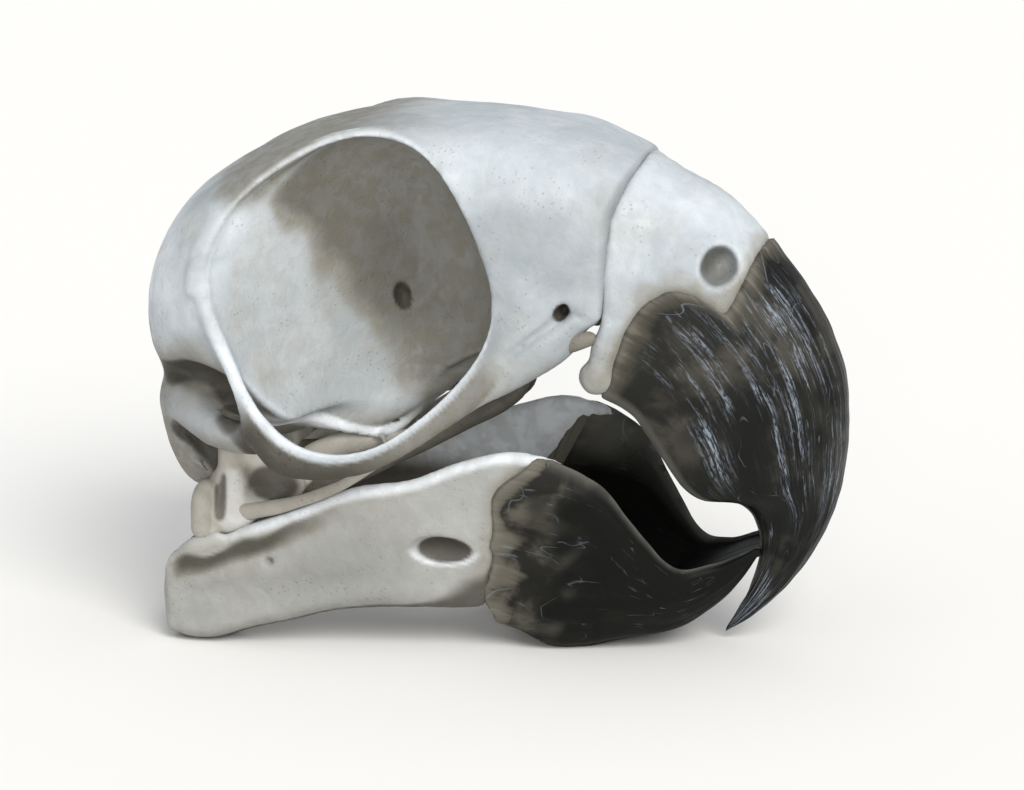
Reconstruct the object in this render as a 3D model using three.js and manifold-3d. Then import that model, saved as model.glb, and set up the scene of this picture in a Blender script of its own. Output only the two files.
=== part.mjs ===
// The skull of a large white cockatoo with its horn sheaths on, at life size, in millimetres.
// +X runs towards the bill, +Y to the bird's left and +Z up. The lower jaw stands on z = 0.
import * as THREE from "three";
import { mergeVertices } from "three/addons/utils/BufferGeometryUtils.js";
import Module from "manifold-3d";

const wasm = await Module();
wasm.setup();

// Driving dimensions
const GAP = 0.3; // free space between two neighbouring pieces
const SEPTUM_HALF = 0.6; // half the thickness of the wall between the eye sockets
const HORN_THICKNESS = 1.1; // how far the horn stands over the bone it covers
const FOOT_LEVEL = 0; // the jaw's underside is planed flat here, where it rests
const FAR = 60; // past everything, for cutters

// Eye socket: centre, rim radius by angle, and the leaning surface that the rim lies in
const SOCKET = { x: -13.4, z: 41.7 };
const RIM_WAVES = [
  // [turns, cosine share, sine share]
  [0, 15.93, 0],
  [1, 0.08, 0.12],
  [2, -1.05, -0.33],
  [3, 0.12, 0.1],
  [4, 0.51, -0.42],
];
const RIM_LEAN = { side: 16.8, perX: -0.229, perZ: -0.178, curl: 0.014, tuck: 0.013, above: 44, behind: -15 };
// Half height of the rim bar by angle in degrees: a thin bar below, a broad plate in front
const RIM_BAR = [
  [-180, 0.9],
  [-150, 0.9],
  [-136, 1.0],
  [-124, 1.5],
  [-112, 1.9],
  [-96, 1.4],
  [-75, 1.2],
  [-50, 1.4],
  [-36, 2.0],
  [-25, 3.2],
  [-14, 4.7],
  [-4, 4.9],
  [8, 2.0],
  [30, 0.6],
  [80, 0.25],
  [120, 0.25],
  [155, 0.7],
  [180, 1.1],
];
// What the rim's distance gains or loses by angle in degrees
const RIM_TRIM = [
  [-180, 0],
  [-20, 0],
  [20, 0.1],
  [45, 0.5],
  [60, 0.35],
  [85, -0.5],
  [112, -0.55],
  [140, -0.1],
  [180, 0],
];

// Braincase and forehead: [x, top, underside, half width, height of the widest place, squareness]
const CRANIUM_ROWS = [
  [-39.9, 38.6, 36.0, 1.0, 37.4, 2.0],
  [-39.3, 42.6, 32.4, 8.0, 37.6, 2.0],
  [-37.6, 46.6, 29.4, 14.0, 38.0, 2.1],
  [-34.6, 50.5, 26.6, 18.2, 38.6, 2.4],
  [-30.2, 53.8, 25.0, 20.4, 39.6, 2.6],
  [-24.5, 56.9, 24.2, 20.8, 41.0, 2.8],
  [-18.0, 58.7, 23.6, 19.2, 42.4, 3.4],
  [-11.0, 59.8, 24.8, 16.8, 43.2, 3.9],
  [-4.0, 60.0, 30.2, 14.9, 45.0, 3.6],
  [3.0, 59.8, 35.4, 13.5, 46.4, 3.2],
  [10.0, 58.9, 37.8, 12.7, 47.0, 2.9],
  [17.0, 56.0, 38.2, 12.1, 46.6, 2.7],
  [23.0, 53.0, 39.0, 11.7, 46.4, 2.6],
];

// Below the sockets only a narrow middle part is left: [x, half width left, top of the cut]
const UNDERCUT_ROWS = [
  [-24.0, 10.5, 24.6],
  [-21.0, 8.8, 26.2],
  [-17.5, 7.4, 26.8],
  [-13.5, 5.6, 27.0],
  [-9.5, 3.0, 28.4],
  [-5.0, 0.9, 31.0],
  [0.0, 0.9, 33.5],
  [3.0, 0.9, 34.0],
];

// Upper bill: [culmen x, culmen z, cutting edge x, cutting edge z, half width, palate depth]
const BILL_ROWS = [
  [9.0, 60.2, 9.4, 33.4, 12.4, 3.0],
  [14.9, 57.7, 11.6, 31.8, 12.3, 4.0],
  [20.2, 54.5, 14.0, 30.8, 12.1, 5.0],
  [25.6, 51.7, 16.0, 29.8, 11.9, 5.5],
  [30.2, 47.2, 17.6, 28.6, 11.6, 6.0],
  [33.8, 42.9, 18.8, 26.8, 11.2, 6.0],
  [37.0, 38.0, 20.0, 24.8, 10.7, 5.6],
  [39.2, 32.4, 21.4, 22.4, 10.1, 5.2],
  [39.8, 26.6, 22.8, 20.2, 9.3, 4.6],
  [39.5, 21.0, 25.0, 18.5, 8.0, 4.0],
  [38.2, 15.6, 28.8, 17.6, 5.6, 3.0],
  [36.0, 11.0, 30.4, 14.6, 3.9, 2.0],
  [33.4, 7.2, 30.4, 10.8, 2.9, 1.4],
  [30.6, 4.3, 29.2, 7.0, 2.0, 0.9],
  [28.2, 2.3, 27.9, 4.2, 1.2, 0.4],
  [26.2, 0.9, 26.4, 1.6, 0.4, 0.1],
];

// Lower jaw, outside: [x, top edge, underside, half width, half width of the underside]
const JAW_ROWS = [
  [-36.8, 5.8, 3.4, 14.6, 14.0],
  [-36.2, 8.4, 1.2, 15.4, 14.8],
  [-34.4, 10.6, 0.1, 15.9, 15.3],
  [-31.0, 12.4, -0.2, 16.1, 15.5],
  [-26.4, 13.9, 1.2, 16.0, 15.2],
  [-20.0, 16.4, 2.9, 15.8, 14.8],
  [-14.0, 19.0, 4.2, 15.4, 14.2],
  [-7.0, 20.4, 4.3, 14.8, 13.2],
  [-1.0, 22.8, 3.5, 14.2, 11.6],
  [4.0, 24.1, 1.5, 14.0, 10.2],
  [7.5, 23.8, -0.2, 13.8, 9.4],
  [11.0, 22.6, -0.2, 13.4, 8.6],
  [14.5, 20.3, 0.6, 12.5, 7.8],
  [18.0, 15.1, 1.3, 10.8, 6.8],
  [21.6, 10.6, 2.2, 8.6, 5.4],
  [25.5, 10.5, 4.9, 6.0, 4.0],
  [28.4, 11.6, 8.0, 5.1, 3.6],
  [30.2, 12.4, 10.9, 4.5, 3.4],
];

// Lower jaw, the hollow between its two branches: [x, floor, half width]
const JAW_HOLLOW_ROWS = [
  [-44.0, -6.0, 9.6],
  [-36.0, -6.0, 9.8],
  [-30.0, -6.0, 10.6],
  [-24.0, -6.0, 12.4],
  [-14.0, -6.0, 12.7],
  [-6.0, -6.0, 12.2],
  [0.0, -4.0, 11.4],
  [3.0, 2.2, 11.6],
  [8.0, 3.2, 11.7],
  [14.0, 4.6, 10.5],
  [19.0, 6.0, 8.0],
  [23.0, 8.3, 5.4],
  [27.0, 10.4, 3.8],
  [31.4, 12.2, 3.2],
];

const SKULL_COLOURS = {
  bone: { color: 0xc9c8c2, roughness: 0.62, metalness: 0 },
  shadedBone: { color: 0xaaa394, roughness: 0.68, metalness: 0 },
  horn: { color: 0x25221e, roughness: 0.42, metalness: 0 },
};

// Curves

/** The value of a smooth curve through the rows, at t from 0 (first row) to 1 (last row). */
function rowAt(rows, t) {
  const place = t * (rows.length - 1);
  const i = Math.min(Math.floor(place), rows.length - 2);
  const f = place - i;
  return rows[0].map((_, k) => {
    const [p0, p1, p2, p3] = [i - 1, i, i + 1, i + 2].map(
      (j) => rows[THREE.MathUtils.clamp(j, 0, rows.length - 1)][k],
    );
    const a = 2 * p1;
    const b = p2 - p0;
    const c = 2 * p0 - 5 * p1 + 4 * p2 - p3;
    const d = -p0 + 3 * p1 - 3 * p2 + p3;
    return (a + b * f + c * f * f + d * f * f * f) / 2;
  });
}

/** A number raised to a power, with its sign kept. */
const signedPower = (v, p) => Math.sign(v) * Math.abs(v) ** p;

/** Evenly spaced numbers from 0 to 1, with both ends. */
const steps = (count) => Array.from({ length: count + 1 }, (_, i) => i / count);

/** Angles round a full turn, without the repeated last one. */
const turns = (count) => Array.from({ length: count }, (_, i) => (i / count) * 2 * Math.PI);

/** The value of a table of [degrees, value] rows at an angle, eased between the rows. */
function byAngle(table, angle) {
  const degrees = THREE.MathUtils.euclideanModulo((angle * 180) / Math.PI + 180, 360) - 180;
  const i = table.findIndex(([a]) => a > degrees);
  const [a0, v0] = table[i - 1];
  const [a1, v1] = table[i];
  return THREE.MathUtils.lerp(v0, v1, THREE.MathUtils.smoothstep(degrees, a0, a1));
}

/** Distance from the socket's centre to its rim, in the XZ plane, at an angle. */
function rimRadius(angle) {
  const wave = ([k, c, d]) => c * Math.cos(k * angle) + d * Math.sin(k * angle);
  return RIM_WAVES.reduce((radius, row) => radius + wave(row), byAngle(RIM_TRIM, angle));
}

/** Half height of the bar that makes the rim, at an angle. */
const rimBar = (angle) => byAngle(RIM_BAR, angle);

/** How far from the middle plane the rim lies, at a place in XZ. */
function rimSide(x, z) {
  const lean = RIM_LEAN.side + RIM_LEAN.perX * (x - SOCKET.x) + RIM_LEAN.perZ * (z - SOCKET.z);
  const up = Math.max(0, z - RIM_LEAN.above);
  const back = Math.max(0, RIM_LEAN.behind - x);
  return lean - RIM_LEAN.curl * up ** 2 - RIM_LEAN.tuck * up * back;
}

// Solids

/** A closed geometry through rings of points, its two ends closed by fans. */
function loft(rings) {
  const n = rings[0].length;
  const position = rings.flat().flatMap((p) => [p.x, p.y, p.z]);
  const index = [];
  for (let r = 0; r + 1 < rings.length; r++) {
    for (let i = 0; i < n; i++) {
      const a = r * n + i;
      const b = r * n + ((i + 1) % n);
      index.push(a, b, a + n, b, b + n, a + n);
    }
  }
  for (const [r, flip] of [[0, true], [rings.length - 1, false]]) {
    const middle = rings[r].reduce((s, p) => s.add(p), new THREE.Vector3()).divideScalar(n);
    const hub = position.length / 3;
    position.push(middle.x, middle.y, middle.z);
    for (let i = 0; i < n; i++) {
      const a = r * n + i;
      const b = r * n + ((i + 1) % n);
      index.push(...(flip ? [b, a, hub] : [a, b, hub]));
    }
  }
  const geometry = new THREE.BufferGeometry();
  geometry.setAttribute("position", new THREE.Float32BufferAttribute(position, 3));
  geometry.setIndex(index);
  return geometry;
}

/** A manifold solid from a closed geometry, turned outwards if it was inside out. */
function solid(geometry) {
  const bare = geometry.clone();
  bare.deleteAttribute("normal");
  bare.deleteAttribute("uv");
  const merged = mergeVertices(bare, 1e-4);
  const vertProperties = merged.attributes.position.array;
  const triVerts = new Uint32Array(merged.index.array);
  const made = new wasm.Manifold(new wasm.Mesh({ numProp: 3, vertProperties, triVerts }));
  if (made.volume() > 0) return made;
  for (let i = 0; i < triVerts.length; i += 3)
    [triVerts[i + 1], triVerts[i + 2]] = [triVerts[i + 2], triVerts[i + 1]];
  return new wasm.Manifold(new wasm.Mesh({ numProp: 3, vertProperties, triVerts }));
}

const joined = (...solids) => solids.reduce((a, b) => a.add(b));
const without = (first, ...cutters) => cutters.reduce((a, b) => a.subtract(b), first);
const mirrored = (made) => made.mirror([0, 1, 0]);
const bothSides = (made) => made.add(mirrored(made));

/** A rod along a smooth curve through points. Each girth is its half width across and half height. */
function rod(points, girths, { sections = 14, sides = 10 } = {}) {
  const curve = new THREE.CatmullRomCurve3(points.map((p) => new THREE.Vector3(...p)));
  const frames = curve.computeFrenetFrames(sections, false);
  const pairs = girths.map((g) => (Array.isArray(g) ? g : [g, g]));
  const rings = steps(sections).map((t, k) => {
    const [across, up] = rowAt(pairs, t);
    const middle = curve.getPoint(t);
    const along = frames.tangents[k];
    const side = new THREE.Vector3(0, 1, 0).addScaledVector(along, -along.y).normalize();
    const rise = frames.tangents[k].clone().cross(side);
    return turns(sides).map((a) =>
      middle
        .clone()
        .addScaledVector(side, across * Math.cos(a))
        .addScaledVector(rise, up * Math.sin(a)),
    );
  });
  return solid(loft(rings));
}

/** A ball stretched along X, Y and Z, then turned about Y. */
function ball(centre, radii, tilt = 0, detail = [18, 12]) {
  const geometry = new THREE.SphereGeometry(1, ...detail);
  geometry.scale(...radii);
  geometry.rotateY(tilt);
  geometry.translate(...centre);
  return solid(geometry);
}

/** A slab right across the part, its outline drawn in XZ as a smooth line closed by corner points. */
function slab(line, corners, halfWidth = FAR) {
  const shape = new THREE.Shape();
  shape.moveTo(...line[0]);
  shape.splineThru(line.slice(1).map((p) => new THREE.Vector2(...p)));
  corners.forEach((p) => shape.lineTo(...p));
  const geometry = new THREE.ExtrudeGeometry(shape, {
    depth: 2 * halfWidth,
    bevelEnabled: false,
    curveSegments: 2,
  });
  geometry.rotateX(Math.PI / 2);
  geometry.translate(0, halfWidth, 0);
  return solid(geometry);
}

/** A straight box between two corners. */
function box(low, high) {
  const size = high.map((v, k) => v - low[k]);
  const geometry = new THREE.BoxGeometry(...size);
  geometry.translate(...low.map((v, k) => v + size[k] / 2));
  return solid(geometry);
}

// Cranium

/** One ring of the braincase: a rounded square with its widest place at its own height. */
function craniumRing([x, top, under, half, wide, square]) {
  return turns(20).map((a) => {
    const rise = signedPower(Math.sin(a), 2 / square);
    const reach = rise > 0 ? top - wide : wide - under;
    return new THREE.Vector3(x, half * signedPower(Math.cos(a), 2 / square), wide + reach * rise);
  });
}

/** The space of the right eye socket: a bowl in to the septum, and a straight way out past its rim. */
function socketSpace() {
  const bowlDepths = [0.25, 0.6, 0.86, 0.97, 1.0];
  const at = (share, angle, side) => {
    const r = rimRadius(angle) * share;
    const x = SOCKET.x + r * Math.cos(angle);
    const z = SOCKET.z + r * Math.sin(angle);
    return new THREE.Vector3(x, -side(x, z, share), z);
  };
  const bowl = (x, z, share) => {
    const wall = SEPTUM_HALF + brainBulge(x, z);
    const steep = 3.4 + 6 * THREE.MathUtils.smoothstep(SOCKET.z - z, 2, 14);
    return rimSide(x, z) - (rimSide(x, z) - wall) * (1 - share ** steep) ** (1 / 2.2);
  };
  const rings = bowlDepths.map((share) => turns(16).map((a) => at(share, a, bowl)));
  rings.push(turns(16).map((a) => at(1.0, a, () => 30)));
  return solid(loft(rings));
}

/** How far the front of the braincase swells out of the septum into the socket. */
function brainBulge(x, z) {
  const back = Math.max(0, -9.5 - x);
  const down = Math.max(0, 34 - z);
  return 0.62 * back + 0.02 * back * back + 0.15 * down;
}

/** The rounded rim round the right eye socket, which is a free arch below. */
function socketRim() {
  const middle = new THREE.Vector3(SOCKET.x, -rimSide(SOCKET.x, SOCKET.z), SOCKET.z);
  const across = new THREE.Vector3(-RIM_LEAN.perX, -1, -RIM_LEAN.perZ).normalize();
  const sections = turns(24).map((a) => {
    const half = rimBar(a);
    const r = rimRadius(a) + half * 0.95;
    const x = SOCKET.x + r * Math.cos(a);
    const z = SOCKET.z + r * Math.sin(a);
    const centre = new THREE.Vector3(x, 0.2 * half + 0.15 - rimSide(x, z), z);
    const out = centre.clone().sub(middle).normalize();
    return turns(6).map((b) =>
      centre
        .clone()
        .addScaledVector(out, half * Math.cos(b))
        .addScaledVector(across, (0.55 * half + 0.4) * Math.sin(b)),
    );
  });
  return ringSolid(sections);
}

/** What is cut away under the right socket, down to the narrow middle part. */
function undercut() {
  const rings = steps(10).map((t) => {
    const [x, half, top] = rowAt(UNDERCUT_ROWS, t);
    return [[-half, 5], [-30, 5], [-30, top], [-half, top]].map(([y, z]) => new THREE.Vector3(x, y, z));
  });
  return solid(loft(rings));
}

/** A closed hoop through sections that run right round to the first. */
function ringSolid(sections) {
  const n = sections[0].length;
  const position = sections.flat().flatMap((p) => [p.x, p.y, p.z]);
  const index = [];
  sections.forEach((_, r) => {
    const next = ((r + 1) % sections.length) * n;
    for (let i = 0; i < n; i++) {
      const j = (i + 1) % n;
      index.push(r * n + i, r * n + j, next + i, r * n + j, next + j, next + i);
    }
  });
  const geometry = new THREE.BufferGeometry();
  geometry.setAttribute("position", new THREE.Float32BufferAttribute(position, 3));
  geometry.setIndex(index);
  return solid(geometry);
}

const hingeLine = [
  [12.6, 30.0],
  [12.7, 34.0],
  [13.0, 36.6],
  [13.75, 38.4],
  [14.0, 45.0],
  [14.6, 51.1],
  [16.0, 54.4],
  [19.6, 60.0],
];
const billSide = slab(hingeLine, [[FAR, 60], [FAR, -20], [12.6, -20]]);

function makeCranium() {
  const shell = solid(loft(steps(15).map((t) => craniumRing(rowAt(CRANIUM_ROWS, t)))));
  const earHollow = rod(
    [[-33.9, -15.4, 25.2], [-31.9, -15.4, 23.8], [-30.4, -15.4, 21.8], [-29.5, -15.4, 19.4]],
    [0.8, 1.5, 1.8, 1.7],
    { sections: 3, sides: 6 },
  );
  const fossa = ball([-29.4, -20.7, 30.7], [5.7, 5.2, 2.5], 0.34, [12, 6]);
  const rearFossa = ball([-34.4, -17.4, 31.2], [3.2, 3.8, 1.6], 0.15, [10, 6]);
  const spinalHole = ball([-37.5, 0, 27.0], [4.5, 3.6, 3.0], 0.7, [12, 6]);
  const ridge = rod(
    [
      [-34.6, -12.8, 28.0],
      [-33.0, -15.4, 27.4],
      [-30.4, -17.3, 26.5],
      [-26.0, -19.3, 26.4],
      [-23.6, -20.1, 26.6],
    ],
    [1.5, 1.7, 1.8, 1.4, 1.2],
    { sections: 5, sides: 6 },
  );
  const bulge = ball([-32.9, -12.0, 25.2], [3.7, 3.0, 7.6], -0.17, [10, 8]);
  const base = ball([-28.0, 0, 25.0], [7.0, 10.5, 3.6], 0, [12, 6]);
  const rostrum = rod(
    [[-26, 0, 25.6], [-18, 0, 24.6], [-12.6, 0, 24.9], [-8, 0, 27.6], [-2, 0, 32.4], [6, 0, 38.4]],
    [3.4, 2.4, 1.6, 1.2, 1.1, 1.4],
    { sections: 8, sides: 6 },
  );
  const cheekCorner = ball([11.2, -11.3, 39.8], [3.2, 1.4, 2.3], 0, [10, 6]);
  const condyle = rod([[-33.4, 0, 27.0], [-33.9, 0, 23.6]], [1.7, 1.3], { sections: 3, sides: 8 });
  const hollows = joined(socketSpace(), undercut(), fossa, rearFossa);
  const hollowed = without(shell, bothSides(hollows));
  const added = bothSides(joined(socketRim(), ridge, bulge, cheekCorner));
  const whole = without(joined(hollowed, added, base, rostrum, condyle), spinalHole, bothSides(earHollow));
  const neighbours = [quadrate(GAP), jugalBar(GAP), palatine(GAP)].map(bothSides);
  const cleared = without(whole, ...neighbours);
  return without(cleared, billSide.translate([-GAP, 0, 0]));
}

// Upper bill

/** One ring of the upper bill: over the culmen from edge to edge, then back across the hollow palate. */
function billRing([cx, cz, ex, ez, half, palate], grow = 0) {
  const height = Math.hypot(cx - ex, cz - ez);
  const up = new THREE.Vector3((cx - ex) / height, 0, (cz - ez) / height);
  const base = new THREE.Vector3(ex, 0, ez);
  const width = half + grow;
  const outside = steps(10).map((t) => {
    const a = Math.PI * t;
    const rise = Math.sin(a) ** 0.86 * (height + grow);
    return base.clone().addScaledVector(up, rise).add(new THREE.Vector3(0, -width * Math.cos(a), 0));
  });
  const inside = steps(4).map((t) => {
    const y = 1 - 2 * t;
    const rise = Math.min(palate, height * 0.4) * (1 - y * y) + grow * 0.5;
    return base
      .clone()
      .addScaledVector(up, rise)
      .add(new THREE.Vector3(0, 0.86 * width * y, 0));
  });
  return [...outside, ...inside];
}

const billLoft = (grow) =>
  solid(loft(steps(16).map((t) => billRing(rowAt(BILL_ROWS, t), grow))));

const upperBorder = [
  [11.6, 30.0],
  [13.7, 30.9],
  [14.6, 32.4],
  [15.3, 35.0],
  [16.1, 37.6],
  [17.6, 40.4],
  [20.0, 42.4],
  [23.4, 42.5],
  [25.4, 41.4],
  [27.2, 40.6],
  [28.4, 43.0],
  [29.6, 46.0],
  [31.4, 48.6],
  [33.4, 50.6],
];
const upperHornSide = slab(upperBorder, [[FAR, 50], [FAR, -20], [11.6, -20]]);
const nostril = ball([26.4, -8.3, 45.4], [2.05, 3.4, 2.3], 0.2, [10, 6]);

function makeUpperBill() {
  const full = billLoft(0).intersect(billSide);
  const core = billLoft(-HORN_THICKNESS).intersect(billSide).intersect(
    slab([[0, 70], [44, 58], [44, 22], [22, 16]], [[0, 10]]),
  );
  const grownCore = billLoft(GAP - HORN_THICKNESS).intersect(
    slab([[0, 70], [44 + GAP, 58], [44 + GAP, 22 - GAP], [22, 16 - GAP]], [[0, 10 - GAP]]),
  );
  const horn = without(full.intersect(upperHornSide), grownCore);
  const bare = without(full, upperHornSide.translate([-GAP, 0, GAP]));
  const jugalKnob = ball([13.2, -11.5, 32.9], [2.0, 1.4, 1.8], 0, [8, 6]);
  const bone = without(
    joined(bare, core, bothSides(without(jugalKnob, upperHornSide.translate([-GAP, 0, GAP])))),
    bothSides(nostril),
  );
  return { bone: bone.intersect(billSide), horn };
}

// Lower jaw

/** One ring of the jaw's outside: upright walls, drawn in towards a flat underside. */
function jawRing([x, top, under, half, underHalf], grow = 0) {
  const profile = [
    [0, 0],
    [0.88 * underHalf, 0],
    [underHalf, 0.07],
    [(half + underHalf) / 2 + 0.2, 0.3],
    [half, 0.66],
    [half - 0.1, 0.93],
    [half - 0.6, 1],
  ];
  const height = top - under + 2 * grow;
  const right = profile.map(([y, rise]) => [y + (y && grow), under - grow + height * rise]);
  const left = right.slice(1).reverse().map(([y, z]) => [-y, z]);
  return [...right, ...left].map(([y, z]) => new THREE.Vector3(x, y, z));
}

/** The hollow between the branches, its floor and walls moved out or in by grow. */
function jawHollow(grow = 0) {
  const rings = steps(11).map((t) => {
    const [x, floor, half] = rowAt(JAW_HOLLOW_ROWS, t);
    return turns(10).map((a) => {
      const rise = signedPower(Math.sin(a), 0.5);
      const side = (half + grow) * signedPower(Math.cos(a), 0.5);
      const depth = 30 - floor + grow;
      return new THREE.Vector3(x, side, 30 + rise * (rise > 0 ? 10 : depth));
    });
  });
  return solid(loft(rings));
}

const jawLoft = (grow) =>
  solid(loft(steps(15).map((t) => jawRing(rowAt(JAW_ROWS, t), grow))));

const lowerBorder = [
  [7.0, 30.0],
  [6.2, 23.4],
  [2.9, 20.0],
  [1.9, 16.0],
  [1.4, 11.4],
  [0.9, 6.5],
  [1.4, 2.0],
  [1.8, -4.0],
];
const lowerHornSide = slab(lowerBorder, [[FAR, -4], [FAR, 30]]);

function makeLowerJaw() {
  const floor = box([-FAR, -FAR, -FAR], [FAR, FAR, FOOT_LEVEL]);
  const full = without(jawLoft(0), jawHollow(), floor);
  const inset = (grow) =>
    without(jawLoft(grow), jawHollow(-grow)).intersect(
      box([-FAR, -FAR, -FAR], [24 + (grow + HORN_THICKNESS), FAR, FAR]),
    );
  const core = inset(-HORN_THICKNESS);
  const horn = without(full.intersect(lowerHornSide), inset(GAP - HORN_THICKNESS));
  const window = ball([-3.6, -14, 12.0], [3.7, 5, 1.85], 0, [10, 6]);
  const bare = without(full, lowerHornSide.translate([-GAP, 0, 0]));
  return { bone: without(joined(bare, core), bothSides(window), bothSides(quadrate(GAP)), floor), horn };
}

// Small bones, each made for the right side, with free space round them when grow is given

const grownBy = (girths, grow) => girths.map((g) => (Array.isArray(g) ? g.map((r) => r + grow) : g + grow));

const jugalBar = (grow = 0) =>
  rod(
    [
      [12.2, -11.0, 36.9],
      [8.6, -10.8, 35.6],
      [4.8, -11.5, 33.0],
      [-3.6, -14.0, 27.1],
      [-9.9, -14.8, 23.0],
      [-15.2, -15.1, 19.4],
      [-21.4, -15.4, 16.9],
      [-26.6, -15.6, 15.4],
    ],
    grownBy([1.0, 0.9, 0.7, 0.6, 0.6, 0.6, 0.7, 0.8], grow),
    { sections: 8, sides: 6 },
  );

const palatine = (grow = 0) =>
  rod(
    [
      [12.2, -2.6, 37.2],
      [8.0, -2.2, 37.2],
      [4.4, -1.9, 34.9],
      [2.6, -2.0, 30.4],
      [-3.4, -3.2, 25.4],
      [-11, -4.8, 20.9],
      [-19, -6.2, 17.8],
      [-27, -7.2, 16.8],
    ],
    grownBy([0.7, 0.7, 0.6, 0.7, [0.7, 1.0], [0.7, 1.1], [0.7, 1.6], [0.6, 1.5]], grow),
    { sections: 9, sides: 6 },
  );

const pterygoid = () =>
  rod(
    [[-9.8, -1.7, 22.2], [-17, -5.2, 21.8], [-23, -8.4, 19.2], [-28.2, -10.8, 15.8]],
    [0.8, [1.1, 1.5], [0.9, 1.2], 0.8],
    { sections: 7, sides: 6 },
  );

const quadrate = (grow = 0) =>
  joined(
    rod(
      [[-29.6, -13.0, 22.6], [-29.4, -13.6, 18.6], [-29.6, -14.0, 13.4]],
      grownBy([1.5, [1.6, 2.2], [2.0, 2.8]], grow),
      { sections: 4, sides: 6 },
    ),
    rod(
      [[-28.4, -13.4, 15.8], [-24.6, -12.4, 16.4], [-20.4, -11.0, 18.4]],
      grownBy([1.3, 1.0, 0.6], grow),
      { sections: 2, sides: 6 },
    ),
    rod(
      [[-28.8, -12.8, 20.8], [-25.6, -12.2, 21.3], [-20.8, -11.0, 20.4]],
      grownBy([1.3, 1.0, 0.6], grow),
      { sections: 2, sides: 6 },
    ),
    ball([-24.4, -12.1, 18.8], [4.4 + grow, 0.7 + grow, 2.8 + grow], 0.1, [8, 6]),
  );

// Assembly

const materials = Object.fromEntries(
  Object.entries(SKULL_COLOURS).map(([name, look]) => [name, new THREE.MeshStandardMaterial(look)]),
);

/** A named mesh of a manifold solid. */
function meshOf(name, made, material) {
  const m = made.getMesh();
  const geometry = new THREE.BufferGeometry();
  geometry.setAttribute("position", new THREE.BufferAttribute(m.vertProperties, 3));
  geometry.setIndex(new THREE.BufferAttribute(m.triVerts, 1));
  geometry.computeVertexNormals();
  const mesh = new THREE.Mesh(geometry, material);
  mesh.name = name;
  return mesh;
}

const cranium = makeCranium();
const upperBill = makeUpperBill();
const lowerJaw = makeLowerJaw();

const skull = new THREE.Group();
skull.name = "cockatoo_skull";
skull.add(meshOf("cranium", cranium, materials.bone));
skull.add(meshOf("upper_bill_bone", upperBill.bone, materials.bone));
skull.add(meshOf("upper_bill_horn", upperBill.horn, materials.horn));
skull.add(meshOf("lower_jaw_bone", lowerJaw.bone, materials.bone));
skull.add(meshOf("lower_jaw_horn", lowerJaw.horn, materials.horn));
const small = { jugal_bar: jugalBar(), palatine: palatine(), pterygoid: pterygoid(), quadrate: quadrate() };
for (const [name, made] of Object.entries(small)) {
  skull.add(meshOf(`${name}_right`, made, materials.shadedBone));
  skull.add(meshOf(`${name}_left`, mirrored(made), materials.shadedBone));
}

export default skull;
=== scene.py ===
"""The looks of a large cockatoo's skull with its horn sheaths on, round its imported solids.

The bones are modelled like clay: a block of sample points holds the distance to the bone's
surface, forms are added and cut with soft joints, and the surface is drawn through the zeros.
The horns and the thin bones are surfaces of two parameters. Sizes are in millimetres and become
metres as each mesh is made. +X runs to the bill's tip, +Y to the bird's left and +Z up, so the
right side is -Y. "side" is the distance from the middle plane, the same on the right and left.
"""

import logging
import math
from collections.abc import Callable
from dataclasses import dataclass, field
from enum import Enum

import bpy
import numpy as np
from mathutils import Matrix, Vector


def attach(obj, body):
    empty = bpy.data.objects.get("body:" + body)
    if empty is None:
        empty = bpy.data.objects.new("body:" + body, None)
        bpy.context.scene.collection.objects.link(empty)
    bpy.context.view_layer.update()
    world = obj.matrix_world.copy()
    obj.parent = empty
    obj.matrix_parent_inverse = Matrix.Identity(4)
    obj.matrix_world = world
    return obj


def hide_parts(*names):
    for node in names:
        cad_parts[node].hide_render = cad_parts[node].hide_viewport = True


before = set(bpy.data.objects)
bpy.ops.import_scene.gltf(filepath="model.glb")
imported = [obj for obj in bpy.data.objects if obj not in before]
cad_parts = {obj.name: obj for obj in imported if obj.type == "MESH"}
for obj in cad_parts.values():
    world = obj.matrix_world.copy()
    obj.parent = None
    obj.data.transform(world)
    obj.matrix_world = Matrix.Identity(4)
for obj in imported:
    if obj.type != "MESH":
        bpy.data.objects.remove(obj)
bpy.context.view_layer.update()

MM = 0.001
OUTSIDE = 50.0  # the distance held by sample points where there is no clay yet
BODY = "root"
FLATTENED = np.array([1.0, 0.25, 1.0])  # makes sideways distances count for a quarter

Array = np.ndarray
Colour = tuple[float, float, float]
Point = tuple[float, float, float]
Line = tuple[Point, ...]
Pairs = tuple[tuple[float, float], ...]
Rows = tuple[tuple[float, ...], ...]
Material = bpy.types.Material
Node = bpy.types.Node
Socket = bpy.types.NodeSocket

log = logging.getLogger("skull")


class Slot(Enum):
    """The record's material slots."""

    BONE = "bone"
    SMALL_BONE = "small_bone"
    HORN = "horn"


class Mark(Enum):
    """Values kept on each mesh's points, which the finishes read."""

    PAINTED_SHADE = "hollow"  # painted shade: 1 where shade is painted into the colour, in hollows and holes, under overhangs and on faces turned from the light
    WEAR_AND_PAINTED_LIGHT = "rim"  # 1 on paler edges and faces: real wear on the horns' edges, painted highlights on the bones' rims and painted light on shaded bone faces
    STAIN_AND_PAINTED_SHADE = "stain"  # 1 where the bone has gone brown, and where brown is painted in as shade; on a horn, 1 in its brown zone by the border
    FRAY = "fray"  # 1 at a horn's thin border, 0 well inside it
    PAINTED_HIGHLIGHT = "painted_highlight"  # painted highlight: 1 along a horn's painted pale strips
    GROWTH = "growth"  # a horn's own map: mm along its growth, mm across it


# ---------------------------------------------------------------- curves and numbers


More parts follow.
